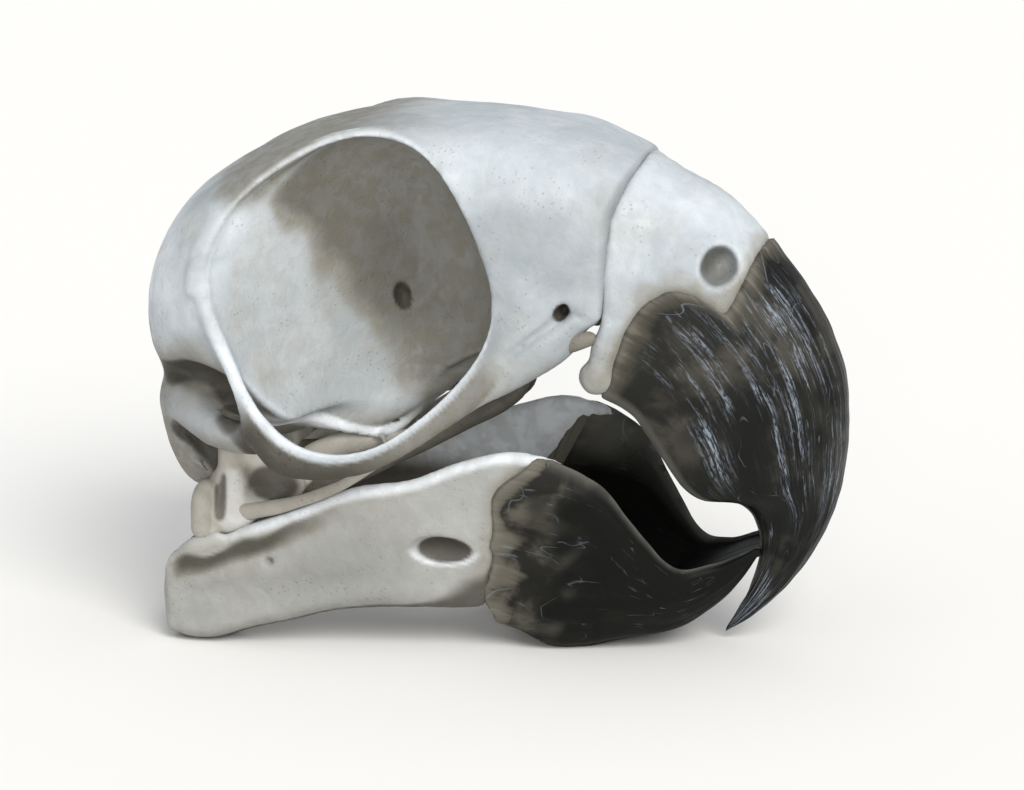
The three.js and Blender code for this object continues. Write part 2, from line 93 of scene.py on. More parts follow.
def through(keys: Array, rows: Array, at: Array) -> Array:
    """Values of a smooth curve through rows of numbers.

    Between two keys each column is the cubic that meets both rows with the mean slope of the
    chords beside them, and past the ends it keeps the end row.

    Args:
        keys: Rising numbers, one for each row.
        rows: One row of numbers, or one number, for each key.
        at: Where to read the curve.

    Returns:
        An array of at's shape, with one more axis for the columns.
    """
    keys = np.asarray(keys, float)
    table = np.asarray(rows, float).reshape(len(keys), -1)
    slopes = np.gradient(table, keys, axis=0)
    at = np.clip(at, keys[0], keys[-1])
    i = np.clip(np.searchsorted(keys, at, side="right") - 1, 0, len(keys) - 2)
    span = (keys[i + 1] - keys[i])[..., None]
    f = (at - keys[i])[..., None] / span
    start = table[i] * (1 + 2 * f) + slopes[i] * span * f
    end = table[i + 1] * (3 - 2 * f) - slopes[i + 1] * span * (1 - f)
    return start * (1 - f) ** 2 + end * f**2


def line_through(points: Pairs, at: Array) -> Array:
    """The second coordinate of a smooth line through points, at values of the first."""
    table = np.array(points)
    return through(table[:, 0], table[:, 1], at)[..., 0]


def columns_at(rows: Rows, at: Array) -> tuple[Array, ...]:
    """A table's columns after the first, each as a smooth curve of the first, read at places."""
    table = np.array(rows)
    return tuple(np.moveaxis(through(table[:, 0], table[:, 1:], at), -1, 0))


def ease(value: Array, low: float, high: float) -> Array:
    """0 below low, 1 above high, and a smooth S between them."""
    share = np.clip((value - low) / (high - low), 0, 1)
    return share * share * (3 - 2 * share)


def fall(value: Array, low: float, high: float) -> Array:
    """1 below low, 0 above high, and a smooth S between them."""
    return 1 - ease(value, low, high)


def soft_min(a: Array, b: Array, joint: float) -> Array:
    """The lower of two distances, rounded where they are within joint of each other."""
    share = np.clip(0.5 + 0.5 * (b - a) / joint, 0, 1)
    return b + (a - b) * share - joint * share * (1 - share)


def soft_max(a: Array, b: Array, joint: float) -> Array:
    """The higher of two distances, rounded where they are within joint of each other."""
    return -soft_min(-a, -b, joint)


def ripples(points: Array, length: float, seed: int, waves: int = 10) -> Array:
    """Smooth uneven relief, from about -1 to 1.

    It is the sum of sine waves of seeded directions, lengths and phases.

    Args:
        points: Places, one to a row, with one or more coordinates.
        length: The mean length of a wave, in the points' unit.
        seed: Picks one relief.
        waves: How many waves are added.

    Returns:
        One value for each place.
    """
    rng = np.random.default_rng(seed)
    aims = rng.normal(size=(waves, points.shape[-1]))
    aims /= np.linalg.norm(aims, axis=1, keepdims=True)
    turns = 2 * np.pi / (length * rng.uniform(0.6, 1.7, waves))
    phases = rng.uniform(0, 2 * np.pi, waves)
    total = np.sin(points @ (aims * turns[:, None]).T + phases).sum(-1)
    return total / math.sqrt(waves)


def turned(x: Array, z: Array, tilt: float) -> tuple[Array, Array]:
    """Offsets in the XZ plane, read along a direction tilted by an angle and across it."""
    return x * math.cos(tilt) - z * math.sin(tilt), x * math.sin(tilt) + z * math.cos(tilt)


def in_ball(points: Array, middle: Point, radii: Point, tilt: float) -> Array:
    """A place's distance from an ellipsoid's centre as a share of its surface's, in the same direction."""
    off = points - middle
    along, up = turned(off[:, 0], off[:, 2], tilt)
    return np.sqrt((along / radii[0]) ** 2 + (off[:, 1] / radii[1]) ** 2 + (up / radii[2]) ** 2)


def to_line(points: Array, path: Array | Line) -> Array:
    """The distance from each place to the nearest straight piece of a line."""
    ends = np.array(path)
    starts, runs = ends[:-1], np.diff(ends, axis=0)
    share = ((points[:, None] - starts) * runs).sum(-1) / (runs * runs).sum(-1)
    near = starts + np.clip(share, 0, 1)[..., None] * runs
    return np.linalg.norm(points[:, None] - near, axis=-1).min(1)


# ---------------------------------------------------------------- surfaces and meshes


@dataclass
class Surface:
    """A closed surface in millimetres: its points, its faces in blocks of equal corners, its marks."""

    points: Array
    faces: list[Array]
    marks: dict[Mark, Array] = field(default_factory=dict)

    def places(self) -> tuple[Array, Array, Array]:
        """The points' x, their distance from the middle plane and their z."""
        return self.points[:, 0], np.abs(self.points[:, 1]), self.points[:, 2]

    def normals(self) -> Array:
        """Unit normals at the points: the sum of each face's cross product of its diagonals."""
        total = np.zeros_like(self.points)
        for block in self.faces:
            corners = self.points[block]
            last = corners[:, 3] if block.shape[1] == 4 else corners[:, 0]
            across = np.cross(corners[:, 2] - corners[:, 0], last - corners[:, 1])
            for k in range(block.shape[1]):
                np.add.at(total, block[:, k], across)
        return total / np.maximum(np.linalg.norm(total, axis=1, keepdims=True), 1e-9)

    def relaxed(self, passes: int, share: float = 0.5) -> "Surface":
        """The surface with each point moved part of the way to the mean of its neighbours.

        Args:
            passes: How often this is done.
            share: How far the points move, from 0 to 1.

        Returns:
            This surface, changed.
        """
        ends = np.concatenate([np.stack([b, np.roll(b, -1, 1)], -1).reshape(-1, 2) for b in self.faces])
        count = np.bincount(ends[:, 0], minlength=len(self.points))[:, None]
        for _ in range(passes):
            near = np.stack(
                [np.bincount(ends[:, 0], self.points[ends[:, 1], k], len(self.points)) for k in range(3)], -1
            )
            self.points = self.points + share * (near / np.maximum(count, 1) - self.points)
        return self

    def raised(self, heights: Array) -> "Surface":
        """This surface with each point moved along its normal."""
        self.points = self.points + self.normals() * np.asarray(heights)[:, None]
        return self

    def mirrored(self) -> "Surface":
        """The same surface on the other side of the middle plane, facing outwards again."""
        return Surface(
            self.points * np.array([1, -1, 1]), [block[:, ::-1] for block in self.faces], dict(self.marks)
        )

    def mesh(self, name: str) -> bpy.types.Mesh:
        """The surface as a smooth Blender mesh in metres, with its marks as attributes."""
        made = bpy.data.meshes.new(name)
        made.from_pydata(self.points * MM, [], [face for block in self.faces for face in block.tolist()])
        for mark, values in self.marks.items():
            flat = values.ndim == 1
            attribute = made.attributes.new(mark.value, "FLOAT" if flat else "FLOAT_VECTOR", "POINT")
            attribute.data.foreach_set("value" if flat else "vector", values.astype(np.float32).ravel())
        made.shade_smooth()
        return made


def grid_normals(grid: Array) -> Array:
    """Unit normals of a grid of points that is closed along its second axis.

    Args:
        grid: Points, along the first axis and round the second.

    Returns:
        The cross product of the two directions at each point, scaled to 1.
    """
    along = np.gradient(grid, axis=0)
    round_ = np.roll(grid, -1, axis=1) - np.roll(grid, 1, axis=1)
    normal = np.cross(round_, along)
    return normal / np.maximum(np.linalg.norm(normal, axis=-1, keepdims=True), 1e-9)


def along_lines(grid: Array) -> Array:
    """Each point's distance from the grid's first ring, measured along its own line of points."""
    steps = np.linalg.norm(np.diff(grid, axis=0), axis=-1)
    return np.concatenate([[0 * grid[0, :, 0]], np.cumsum(steps, 0)])


def closed_grid(grid: Array, marks: dict[Mark, Array]) -> Surface:
    """A surface through a grid of rings, its two ends closed by fans.

    Args:
        grid: Ring points, in the order (ring, place in the ring, coordinate).
        marks: Values for the grid's points, by mark.

    Returns:
        The closed surface, with the two hubs as its last points.
    """
    rings, count = grid.shape[:2]
    hubs = [grid[0].mean(0), grid[-1].mean(0)]
    index = np.arange(rings * count).reshape(rings, count)
    after = np.roll(index, -1, axis=1)
    quads = np.stack([index[:-1], index[1:], after[1:], after[:-1]], -1).reshape(-1, 4)
    first = np.stack([index[0], after[0], np.full(count, rings * count)], -1)
    last = np.stack([after[-1], index[-1], np.full(count, rings * count + 1)], -1)
    spread = {}
    for mark, values in marks.items():
        flat = values.reshape(rings * count, *values.shape[2:])
        spread[mark] = np.concatenate([flat, values[:1].mean(1), values[-1:].mean(1)])
    points = np.concatenate([grid.reshape(-1, 3), hubs])
    return Surface(points, [quads, np.concatenate([first, last])], spread)


def turned_out(surface: Surface) -> Surface:
    """The surface with its faces turned round if its volume comes out negative."""
    quads = surface.faces[0]
    corners = surface.points[quads]
    volume = np.einsum("ij,ij->", corners[:, 0], np.cross(corners[:, 1], corners[:, 2]))
    volume += np.einsum("ij,ij->", corners[:, 0], np.cross(corners[:, 2], corners[:, 3]))
    if volume < 0:
        surface.faces = [block[:, ::-1] for block in surface.faces]
    return surface


# ---------------------------------------------------------------- clay


@dataclass
class Clay:
    """A solid held as distances on a regular block of sample points, negative inside it.

    Only the half with side >= 0 is sampled, and both halves are drawn from it.
    """

    low: Point
    high: Point
    pitch: float
    values: Array = field(init=False)

    def __post_init__(self) -> None:
        """Lays out the sample points."""
        step = self.pitch
        axes = [np.arange(a, b + step, step, dtype=np.float32) for a, b in zip(self.low, self.high)]
        self.x = axes[0][:, None, None]
        self.side = axes[1][None, :, None]
        self.z = axes[2][None, None, :]
        self.values = np.full([len(a) for a in axes], OUTSIDE, np.float32)

    def add(self, shape: Array, joint: float = 0.5) -> None:
        """Adds a form given as distances."""
        self.values = soft_min(self.values, shape, joint).astype(np.float32)

    def cut(self, shape: Array, joint: float = 0.5) -> None:
        """Cuts away a form given as distances."""
        self.values = soft_max(self.values, -shape, joint).astype(np.float32)

    def evened(self, shape: Array) -> Array:
        """A form's values divided by their slope, so that near the surface they are distances."""
        slopes = np.gradient(shape, self.pitch)
        steepness = np.sqrt(sum(slope * slope for slope in slopes))
        return shape / np.maximum(steepness, 0.3)

    def near(self, low: Array, high: Array) -> tuple[slice, ...]:
        """The part of the block between two corners."""
        first = np.floor((np.asarray(low) - self.low) / self.pitch).astype(int)
        last = np.ceil((np.asarray(high) - self.low) / self.pitch).astype(int) + 1
        return tuple(slice(max(a, 0), max(b, 1)) for a, b in zip(first, last))

    def part(self, where: tuple[slice, ...]) -> tuple[Array, Array, Array]:
        """The coordinates of the sample points in a part of the block."""
        return self.x[where[0]], self.side[:, where[1]], self.z[:, :, where[2]]

    def rod(self, path: list[Point], radii: list[float], joint: float = 0.5, cut: bool = False) -> None:
        """Adds or cuts a rod: all points nearer to a smooth line than the radius there.

        Args:
            path: Points that the line runs through.
            radii: The rod's radius at each of them.
            joint: How soft its joint with the clay is.
            cut: Whether the rod is taken away.
        """
        keys = np.linspace(0, 1, len(path))
        stations = np.linspace(0, 1, 4 * len(path))
        line = through(keys, np.array(path), stations)
        girth = through(keys, np.array(radii), stations)[:, 0]
        reach = girth.max() + 2 * joint + 1
        where = self.near(line.min(0) - reach, line.max(0) + reach)
        x, side, z = self.part(where)
        distance = None
        for start, end, thick, thin in zip(line, line[1:], girth, girth[1:]):
            run = end - start
            offsets = [x - start[0], side - start[1], z - start[2]]
            share = np.clip(sum(o * r for o, r in zip(offsets, run)) / (run @ run), 0, 1)
            gap = np.sqrt(sum((o - share * r) ** 2 for o, r in zip(offsets, run)))
            gap = gap - (thick + share * (thin - thick))
            distance = gap if distance is None else np.minimum(distance, gap)
        self.merge(where, distance, joint, cut)

    def ball(
        self, middle: Point, radii: Point, tilt: float = 0.0, joint: float = 0.5, cut: bool = False
    ) -> None:
        """Adds or cuts an ellipsoid, turned about the Y axis.

        Args:
            middle: Its centre.
            radii: Its half axes before it is turned.
            tilt: The turn, in radians.
            joint: How soft its joint with the clay is.
            cut: Whether it is taken away.
        """
        reach = max(radii) + 2 * joint + 1
        where = self.near(np.array(middle) - reach, np.array(middle) + reach)
        x, side, z = self.part(where)
        along, up = turned(x - middle[0], z - middle[2], tilt)
        scaled = [along / radii[0], (side - middle[1]) / radii[1], up / radii[2]]
        near = np.sqrt(sum(s * s for s in scaled))
        steep = np.sqrt(sum((s / r) ** 2 for s, r in zip(scaled, radii)))
        self.merge(where, near * (near - 1) / np.maximum(steep, 1e-6), joint, cut)

    def merge(self, where: tuple[slice, ...], distance: Array, joint: float, cut: bool) -> None:
        """Adds distances to a part of the block, or cuts them from it."""
        old = self.values[where]
        self.values[where] = soft_max(old, -distance, joint) if cut else soft_min(old, distance, joint)

    def whole(self, half: Array) -> Array:
        """Values of both halves, from those of the sampled one."""
        return np.concatenate([half[:, :0:-1], half], axis=1)

    def corner(self) -> Array:
        """The lowest corner of the whole block."""
        return np.array([self.low[0], -self.pitch * (self.values.shape[1] - 1), self.low[2]])

    def sampled(self, half: Array, points: Array) -> Array:
        """Values of the block at points, blended between the eight sample points round each."""
        place = (points - [self.low[0], 0, self.low[2]]) / self.pitch
        place[:, 1] = np.abs(place[:, 1])
        place = np.clip(place, 0, np.array(half.shape) - 1.001)
        i = place.astype(int)
        f = place - i
        total = np.zeros(len(points))
        for step in np.ndindex(2, 2, 2):
            weight = np.prod(np.where(step, f, 1 - f), axis=1)
            total += weight * half[i[:, 0] + step[0], i[:, 1] + step[1], i[:, 2] + step[2]]
        return total

    def crowding(self, reach: float) -> Array:
        """How much of the space round each sample point is solid: over a half means a hollow."""
        cells = max(1, round(reach / self.pitch))
        share = self.whole((self.values < 0).astype(np.float32))
        for _ in range(2):
            for axis in range(3):
                edges = [(cells + 1, cells) if k == axis else (0, 0) for k in range(3)]
                run = np.cumsum(np.pad(share, edges, mode="edge"), axis=axis)
                ahead = np.take(run, np.arange(2 * cells + 1, run.shape[axis]), axis)
                behind = np.take(run, np.arange(0, run.shape[axis] - 2 * cells - 1), axis)
                share = (ahead - behind) / (2 * cells + 1)
        return share[:, self.values.shape[1] - 1:]

    def skin(self) -> Surface:
        """The surface through the zeros of the whole block.

        Each cell of eight sample points that the surface passes has one point, the mean of the
        places where the cell's edges change sign, and each edge that changes sign has a face.

        Returns:
            The surface, with four corners to a face, facing outwards.
        """
        values = self.whole(self.values)
        inside = values < 0
        corners = np.array(list(np.ndindex(2, 2, 2)))
        shape = np.array(values.shape) - 1
        shifted = [inside[tuple(slice(c, c + s) for c, s in zip(corner, shape))] for corner in corners]
        count = sum(block.astype(int) for block in shifted)
        passed = (count > 0) & (count < 8)
        cells = np.argwhere(passed)
        numbers = np.full(passed.shape, -1)
        numbers[passed] = np.arange(len(cells))
        held = values[tuple((cells[:, None] + corners).transpose(2, 0, 1))]
        total, crossings = np.zeros((len(cells), 3)), np.zeros((len(cells), 1))
        pairs = [(a, b) for a in range(8) for b in range(a + 1, 8)]
        edges = [(a, b) for a, b in pairs if abs(corners[b] - corners[a]).sum() == 1]
        for a, b in edges:
            crossed = (held[:, a] < 0) != (held[:, b] < 0)
            share = np.where(crossed, held[:, a] / np.where(crossed, held[:, a] - held[:, b], 1), 0)
            total += crossed[:, None] * (corners[a] + share[:, None] * (corners[b] - corners[a]))
            crossings += crossed[:, None]
        points = self.corner() + (cells + total / crossings) * self.pitch
        faces = []
        for axis in range(3):
            unit = np.eye(3, dtype=int)
            right, up = unit[(axis + 1) % 3], unit[(axis + 2) % 3]
            start = tuple(slice(0, -1) if k == axis else slice(1, -1) for k in range(3))
            end = tuple(slice(1, None) if k == axis else slice(1, -1) for k in range(3))
            for solid_first in (True, False):
                found = np.argwhere((inside[start] != inside[end]) & (inside[start] == solid_first))
                ring = [found, found + right, found + right + up, found + up]
                quad = np.stack([numbers[tuple(cell.T)] for cell in ring], -1)
                faces.append(quad if solid_first else quad[:, ::-1])
        return Surface(points, [np.concatenate(faces)])


# ---------------------------------------------------------------- the shared forms


@dataclass(frozen=True)
class EyeSocket:
    """The round eye socket: its rim in the XZ plane, the slope of its rim and its bowl."""

    x: float = -13.4
    z: float = 41.7
    # number of waves in a turn, cosine part, sine part
    waves: Rows = (
        (0, 15.93, 0), (1, 0.08, 0.12), (2, -1.05, -0.33), (3, 0.12, 0.1), (4, 0.51, -0.42),
    )
    # degrees round the centre, half width of the bar round the rim
    bar: Pairs = (
        (-180, 0.55), (-150, 0.55), (-136, 0.7), (-124, 1.3), (-112, 1.9), (-96, 1.4), (-75, 1.2),
        (-50, 1.4), (-36, 2.0), (-25, 3.2), (-14, 4.7), (-4, 4.9), (8, 2.0), (30, 0.6), (80, 0.3),
        (120, 0.3), (155, 0.7), (180, 1.1),
    )
    # degrees, radius of the rim's fine rounded edge
    bead_radii: Pairs = (
        (-180, 0.5), (-150, 0.55), (-125, 0.45), (-100, 0.36), (-40, 0.4), (0, 0.4), (90, 0.4),
        (150, 0.5), (180, 0.55),
    )
    # degrees, mm added to the rim's distance
    trim: Pairs = (
        (-180, 0), (-20, 0), (20, 0.1), (45, 0.5), (60, 0.35), (85, -0.5), (112, -0.55), (140, -0.1),
        (180, 0),
    )
    wall: float = 0.6  # half the thickness of the wall between the sockets
    rim_side: float = 16.8  # how far from the middle plane the rim's plane lies at the centre
    rim_lean: tuple[float, float] = (0.229, 0.178)  # how much nearer it comes for each mm of x and z
    curl_height: float = 44.0  # the rim curls in above this height
    size: float = 14.0  # about the socket's radius, which turns shares of it into mm

    def polar(self, x: Array, z: Array) -> tuple[Array, Array]:
        """The angle and the distance of a place from the socket's centre."""
        return np.arctan2(z - self.z, x - self.x), np.hypot(x - self.x, z - self.z)

    def radius(self, angle: Array) -> Array:
        """The rim's distance from the centre: a constant and four waves of the angle, trimmed above."""
        whole = sum(c * np.cos(k * angle) + d * np.sin(k * angle) for k, c, d in self.waves)
        return whole + line_through(self.trim, np.degrees(angle))

    def side(self, x: Array, z: Array) -> Array:
        """How far from the middle plane the rim lies: a leaning plane, curled in at the top."""
        up = np.maximum(0, z - self.curl_height)
        lean = self.rim_side - self.rim_lean[0] * (x - self.x) - self.rim_lean[1] * (z - self.z)
        return lean - 0.014 * up**2 - 0.013 * up * np.maximum(0, -15 - x)

    def bowl(self, clay: Clay) -> Array:
        """Distances to the socket's space.

        A place is in it when share^p + depth^2.2 is under 1, where share is its part of the way
        from the centre to the rim, depth its part of the way from the rim to the wall, and p
        grows towards the bottom, so that the floor is steep.
        """
        angle, radius = self.polar(clay.x, clay.z)
        share = radius / self.radius(angle)
        steep = 3.4 + 6 * ease(self.z - clay.z, 2, 14)
        back = np.maximum(0, -9.5 - clay.x)
        wall = self.wall + 0.62 * back + 0.02 * back**2 + 0.15 * np.maximum(0, 34 - clay.z)
        rim = self.side(clay.x, clay.z)
        depth = np.maximum(0, rim - clay.side) / np.maximum(rim - wall, 1)
        return clay.evened(((share**steep + depth**2.2) ** (1 / 2.6) - 1) * self.size)

    def hoop(self, clay: Clay) -> Array:
        """Distances to the bar round the rim, a hoop of oval section that is a broad plate in front."""
        angle, radius = self.polar(clay.x, clay.z)
        half = line_through(self.bar, np.degrees(angle))
        thick = 0.55 * half + 0.4
        out = (radius - self.radius(angle) - 0.95 * half) / half
        over = (clay.side - self.side(clay.x, clay.z) + 0.2 * half + 0.15) / thick
        return (np.sqrt(out**2 + over**2) - 1) * np.minimum(half, thick)

    def bead(self, clay: Clay) -> Array:
        """Distances to the fine rounded edge that runs round the rim."""
        angle, radius = self.polar(clay.x, clay.z)
        thick = line_through(self.bead_radii, np.degrees(angle))
        out = radius - self.radius(angle) - 0.25
        over = (clay.side - self.side(clay.x, clay.z) + 0.1) * 0.93
        return np.sqrt(out**2 + over**2) - thick


@dataclass(frozen=True)
class BillForm:
    """The upper bill as rings from the forehead to the tip, each from its cutting edge to its ridge."""

    # ridge x, ridge z, cutting edge x, cutting edge z, half width, palate depth
    rows: Rows = (
        (9.0, 60.2, 9.4, 33.4, 12.4, 3.0), (14.9, 57.7, 11.6, 31.8, 12.3, 4.0),
        (20.2, 54.5, 14.0, 30.8, 12.1, 5.0), (25.6, 51.7, 16.0, 29.8, 11.9, 5.5),
        (30.2, 47.2, 17.6, 28.6, 11.6, 6.0), (33.8, 42.9, 18.8, 26.8, 11.2, 6.0),
        (37.0, 38.0, 20.0, 24.8, 10.7, 5.6), (39.2, 32.4, 21.4, 22.4, 10.1, 5.2),
        (39.8, 26.6, 22.8, 20.2, 9.3, 4.6), (39.5, 21.0, 25.0, 18.5, 8.0, 4.0),
        (38.2, 15.6, 28.8, 17.6, 5.6, 3.0), (36.0, 11.0, 30.4, 14.6, 3.9, 2.0),
        (33.4, 7.2, 30.4, 10.8, 2.9, 1.4), (30.6, 4.3, 29.2, 7.0, 2.0, 0.9),
        (28.2, 2.3, 27.9, 4.2, 1.2, 0.4), (26.2, 0.9, 26.4, 1.6, 0.4, 0.1),
    )
    # z, x of the hinge with the forehead
    hinge: Pairs = (
        (30.0, 12.6), (34.0, 12.7), (36.6, 13.0), (38.4, 13.75), (45.0, 14.0), (51.1, 14.6),
        (54.4, 16.0), (60.0, 19.6),
    )
    # x, z of the horn's border on the bone
    border: Pairs = (
        (11.6, 30.0), (13.7, 30.9), (14.6, 32.4), (15.3, 35.0), (16.1, 37.6), (17.6, 40.4),
        (20.0, 42.4), (23.4, 42.5), (25.4, 41.4), (27.2, 40.6), (28.4, 43.0), (29.6, 46.0),
        (31.4, 48.6), (40.0, 58.0),
    )
    bulge: float = 0.86  # the power of the sine that rounds a ring

    def ring(self, t: Array) -> tuple[Array, Array, Array, Array, Array]:
        """A ring's foot, its direction up, its height, its half width and its palate's depth.

        Args:
            t: From 0 at the forehead to 1 at the tip.

        Returns:
            The foot and the direction as (x, z) pairs on a last axis, and three plain values.
        """
        row = through(np.linspace(0, 1, len(self.rows)), np.array(self.rows), t)
        foot, top = row[..., 2:4], row[..., 0:2]
        height = np.linalg.norm(top - foot, axis=-1)
        return foot, (top - foot) / height[..., None], height, row[..., 4], row[..., 5]

    def outside(self, t: Array, s: Array) -> Array:
        """Points of the outer face: s runs over the ridge, from 0 at the right edge to 1 at the left.

        Across, a point is at half width times -cos(pi s), and up it is at height times a power
        of sin(pi s).
        """
        foot, up, height, half, _ = self.ring(t)
        rise = height * np.sin(np.pi * np.clip(s, 0, 1)) ** self.bulge
        place = foot + up * rise[..., None]
        return np.stack([place[..., 0], -half * np.cos(np.pi * s), place[..., 1]], -1)

    def palate(self, t: Array, s: Array) -> Array:
        """Points of the hollow underside: s runs from 0 at the left edge to 1 at the right.

        The hollow is a parabola across, as deep as the palate in the middle.
        """
        foot, up, height, half, deep = self.ring(t)
        across = 1 - 2 * s
        rise = np.minimum(deep, 0.4 * height) * (1 - across**2)
        place = foot + up * rise[..., None]
        return np.stack([place[..., 0], 0.86 * half * across, place[..., 1]], -1)

    def locate(self, x: Array, z: Array) -> tuple[Array, Array]:
        """The ring that each place in the XZ plane lies on, and its height above the ring's foot."""
        t = np.linspace(0, 1, 320)
        foot, up, *_ = self.ring(t)
        ahead = (x[..., None] - foot[:, 0]) * up[:, 1] - (z[..., None] - foot[:, 1]) * up[:, 0]
        passed = (ahead[..., :-1] > 0) & (ahead[..., 1:] <= 0)
        i = np.where(passed.any(-1), passed.argmax(-1), np.where(ahead[..., 0] > 0, len(t) - 2, 0))
        before = np.take_along_axis(ahead, i[..., None], -1)[..., 0]
        after = np.take_along_axis(ahead, i[..., None] + 1, -1)[..., 0]
        share = np.clip(before / np.where(before == after, 1, before - after), 0, 1)
        found = (i + share) / (len(t) - 1)
        foot, up, *_ = self.ring(found)
        return found, (x - foot[..., 0]) * up[..., 0] + (z - foot[..., 1]) * up[..., 1]

    def horn_depth(self, x: Array, z: Array) -> Array:
        """How far a place lies inside the horn's border, roughly, in mm."""
        return 0.75 * (line_through(self.border, x) - z)


@dataclass(frozen=True)
class JawForm:
    """The lower jaw: its outside by rows along X, the hollow between its branches, its horn's borders."""

    # x, top edge, underside, half width, half width of the underside
    rows: Rows = (
        (-36.8, 5.8, 3.4, 14.6, 14.0), (-36.2, 8.4, 1.2, 15.4, 14.8), (-34.4, 10.6, 0.1, 15.9, 15.3),
        (-31.0, 12.4, -0.2, 16.1, 15.5), (-26.4, 13.9, 1.2, 16.0, 15.2), (-20.0, 16.4, 2.9, 15.8, 14.8),
        (-14.0, 19.0, 4.2, 15.4, 14.2), (-7.0, 20.4, 4.3, 14.8, 13.2), (-1.0, 22.8, 3.5, 14.2, 11.6),
        (4.0, 24.1, 1.5, 14.0, 10.2), (7.5, 23.8, -0.2, 13.8, 9.4), (11.0, 22.6, -0.2, 13.4, 8.6),
        (14.5, 20.3, 0.6, 12.5, 7.8), (18.0, 15.1, 1.3, 10.8, 6.8), (21.6, 10.6, 2.2, 8.6, 5.4),
        (25.5, 10.5, 4.9, 6.0, 4.0), (28.4, 11.6, 8.0, 5.1, 3.6), (30.2, 12.4, 10.9, 4.5, 3.4),
    )
    # x, floor, half width
    hollow: Rows = (
        (-44.0, -6.0, 9.6), (-36.0, -6.0, 9.8), (-30.0, -6.0, 10.6), (-24.0, -6.0, 12.4), (-14.0, -6.0, 12.7),
        (-6.0, -6.0, 12.2), (0.0, -4.0, 11.4), (3.0, 2.2, 11.6), (8.0, 3.2, 11.7), (14.0, 4.6, 10.5),
        (19.0, 6.0, 8.0), (23.0, 8.3, 5.4), (27.0, 10.4, 3.8), (31.4, 12.2, 3.2),
    )
    # z, x of the horn's border outside and inside
    outer_border: Pairs = (
        (-4.0, 1.8), (2.0, 1.4), (6.5, 0.9), (11.4, 1.4), (16.0, 1.9), (20.0, 2.9), (23.4, 6.2), (30.0, 7.0),
    )
    inner_border: Pairs = (
        (-4.0, 0.8), (8.0, 1.0), (14.0, 1.6), (16.5, 2.4), (18.4, 4.6), (20.7, 6.5), (21.7, 8.0),
        (23.4, 10.4), (25.0, 12.4),
    )
    # share of the height, and the outline's width there as shares of (underside's, full) half width
    profile: tuple[tuple[float, float, float, float], ...] = (
        (0.0, 0.88, 0.0, 0.0), (0.07, 1.0, 0.0, 0.0), (0.3, 0.5, 0.5, 0.2), (0.66, 0.0, 1.0, 0.0),
        (0.93, 0.0, 1.0, -0.1), (1.0, 0.0, 1.0, -0.6),
    )

    def outline(self, x: Array) -> tuple[Array, ...]:
        """The top edge, the underside, the half width and the underside's half width at x."""
        return columns_at(self.rows, x)

    def space(self, x: Array) -> tuple[Array, Array]:
        """The hollow's floor and half width at x."""
        return columns_at(self.hollow, x)

    def width(self, x: Array, share: Array) -> Array:
        """The outside's half width at x and at a share of the height there."""
        _, _, half, low_half = self.outline(x)
        low_part, full_part, extra = columns_at(self.profile, np.clip(share, 0, 1))
        return low_part * low_half + full_part * half + extra


# ---------------------------------------------------------------- finishes


class Wiring:
    """A shader node tree while its nodes are placed and joined."""

    def __init__(self, tree: bpy.types.ShaderNodeTree) -> None:
        """Starts on an empty tree."""
        self.tree = tree

    def node(self, kind: str, **settings: object) -> Node:
        """A new node, with its settings."""
        made = self.tree.nodes.new(kind)
        for name, value in settings.items():
            setattr(made, name, value)
        return made

    def feed(self, socket: Socket, value: object) -> None:
        """Joins an output to an input, or sets the input's own value."""
        if isinstance(value, Socket):
            self.tree.links.new(value, socket)
        elif isinstance(value, tuple) and len(value) == 3 and socket.type == "RGBA":
            socket.default_value = (*value, 1.0)
        else:
            socket.default_value = value

    def math(self, operation: str, *values: object) -> Socket:
        """The result of a Math node."""
        made = self.node("ShaderNodeMath", operation=operation)
        for socket, value in zip(made.inputs, values):
            self.feed(socket, value)
        return made.outputs[0]

    def times(self, a: object, b: object) -> Socket:
        """The product of two values."""
        return self.math("MULTIPLY", a, b)

    def vector(self, operation: str, a: object, b: object) -> Socket:
        """The result of a Vector Math node with two inputs."""
        made = self.node("ShaderNodeVectorMath", operation=operation)
        self.feed(made.inputs[0], a)
        self.feed(made.inputs[1], b)
        return made.outputs[0]

    def mix(self, share: object, a: object, b: object) -> Socket:
        """A colour between two others."""
        made = self.node("ShaderNodeMix", data_type="RGBA")
        for number, value in ((0, share), (6, a), (7, b)):
            self.feed(made.inputs[number], value)
        return made.outputs[2]

    def range(
        self, value: object, low: object, high: object, to_low: float = 0.0, to_high: float = 1.0
    ) -> Socket:
        """A value moved smoothly from one range to another, and held inside it."""
        made = self.node("ShaderNodeMapRange", interpolation_type="SMOOTHSTEP")
        for socket, given in zip(made.inputs, (value, low, high, to_low, to_high)):
            self.feed(socket, given)
        return made.outputs[0]

    def noise(
        self,
        vector: object,
        scale: object,
        detail: float = 3.0,
        roughness: float = 0.5,
        distortion: float = 0.0,
    ) -> Socket:
        """The value of a Noise Texture."""
        made = self.node("ShaderNodeTexNoise")
        names = ("Vector", "Scale", "Detail", "Roughness", "Distortion")
        for name, value in zip(names, (vector, scale, detail, roughness, distortion)):
            self.feed(made.inputs[name], value)
        return made.outputs[0]

    def mark(self, mark: Mark, output: str = "Fac") -> Socket:
        """The value of one of the meshes' marks."""
        return self.node("ShaderNodeAttribute", attribute_name=mark.value).outputs[output]

    def group(self, tree: bpy.types.ShaderNodeTree, **values: object) -> Node:
        """A shared effect, with its inputs by name."""
        made = self.node("ShaderNodeGroup", node_tree=tree)
        for name, value in values.items():
            self.feed(made.inputs[name.replace("_", " ")], value)
        return made


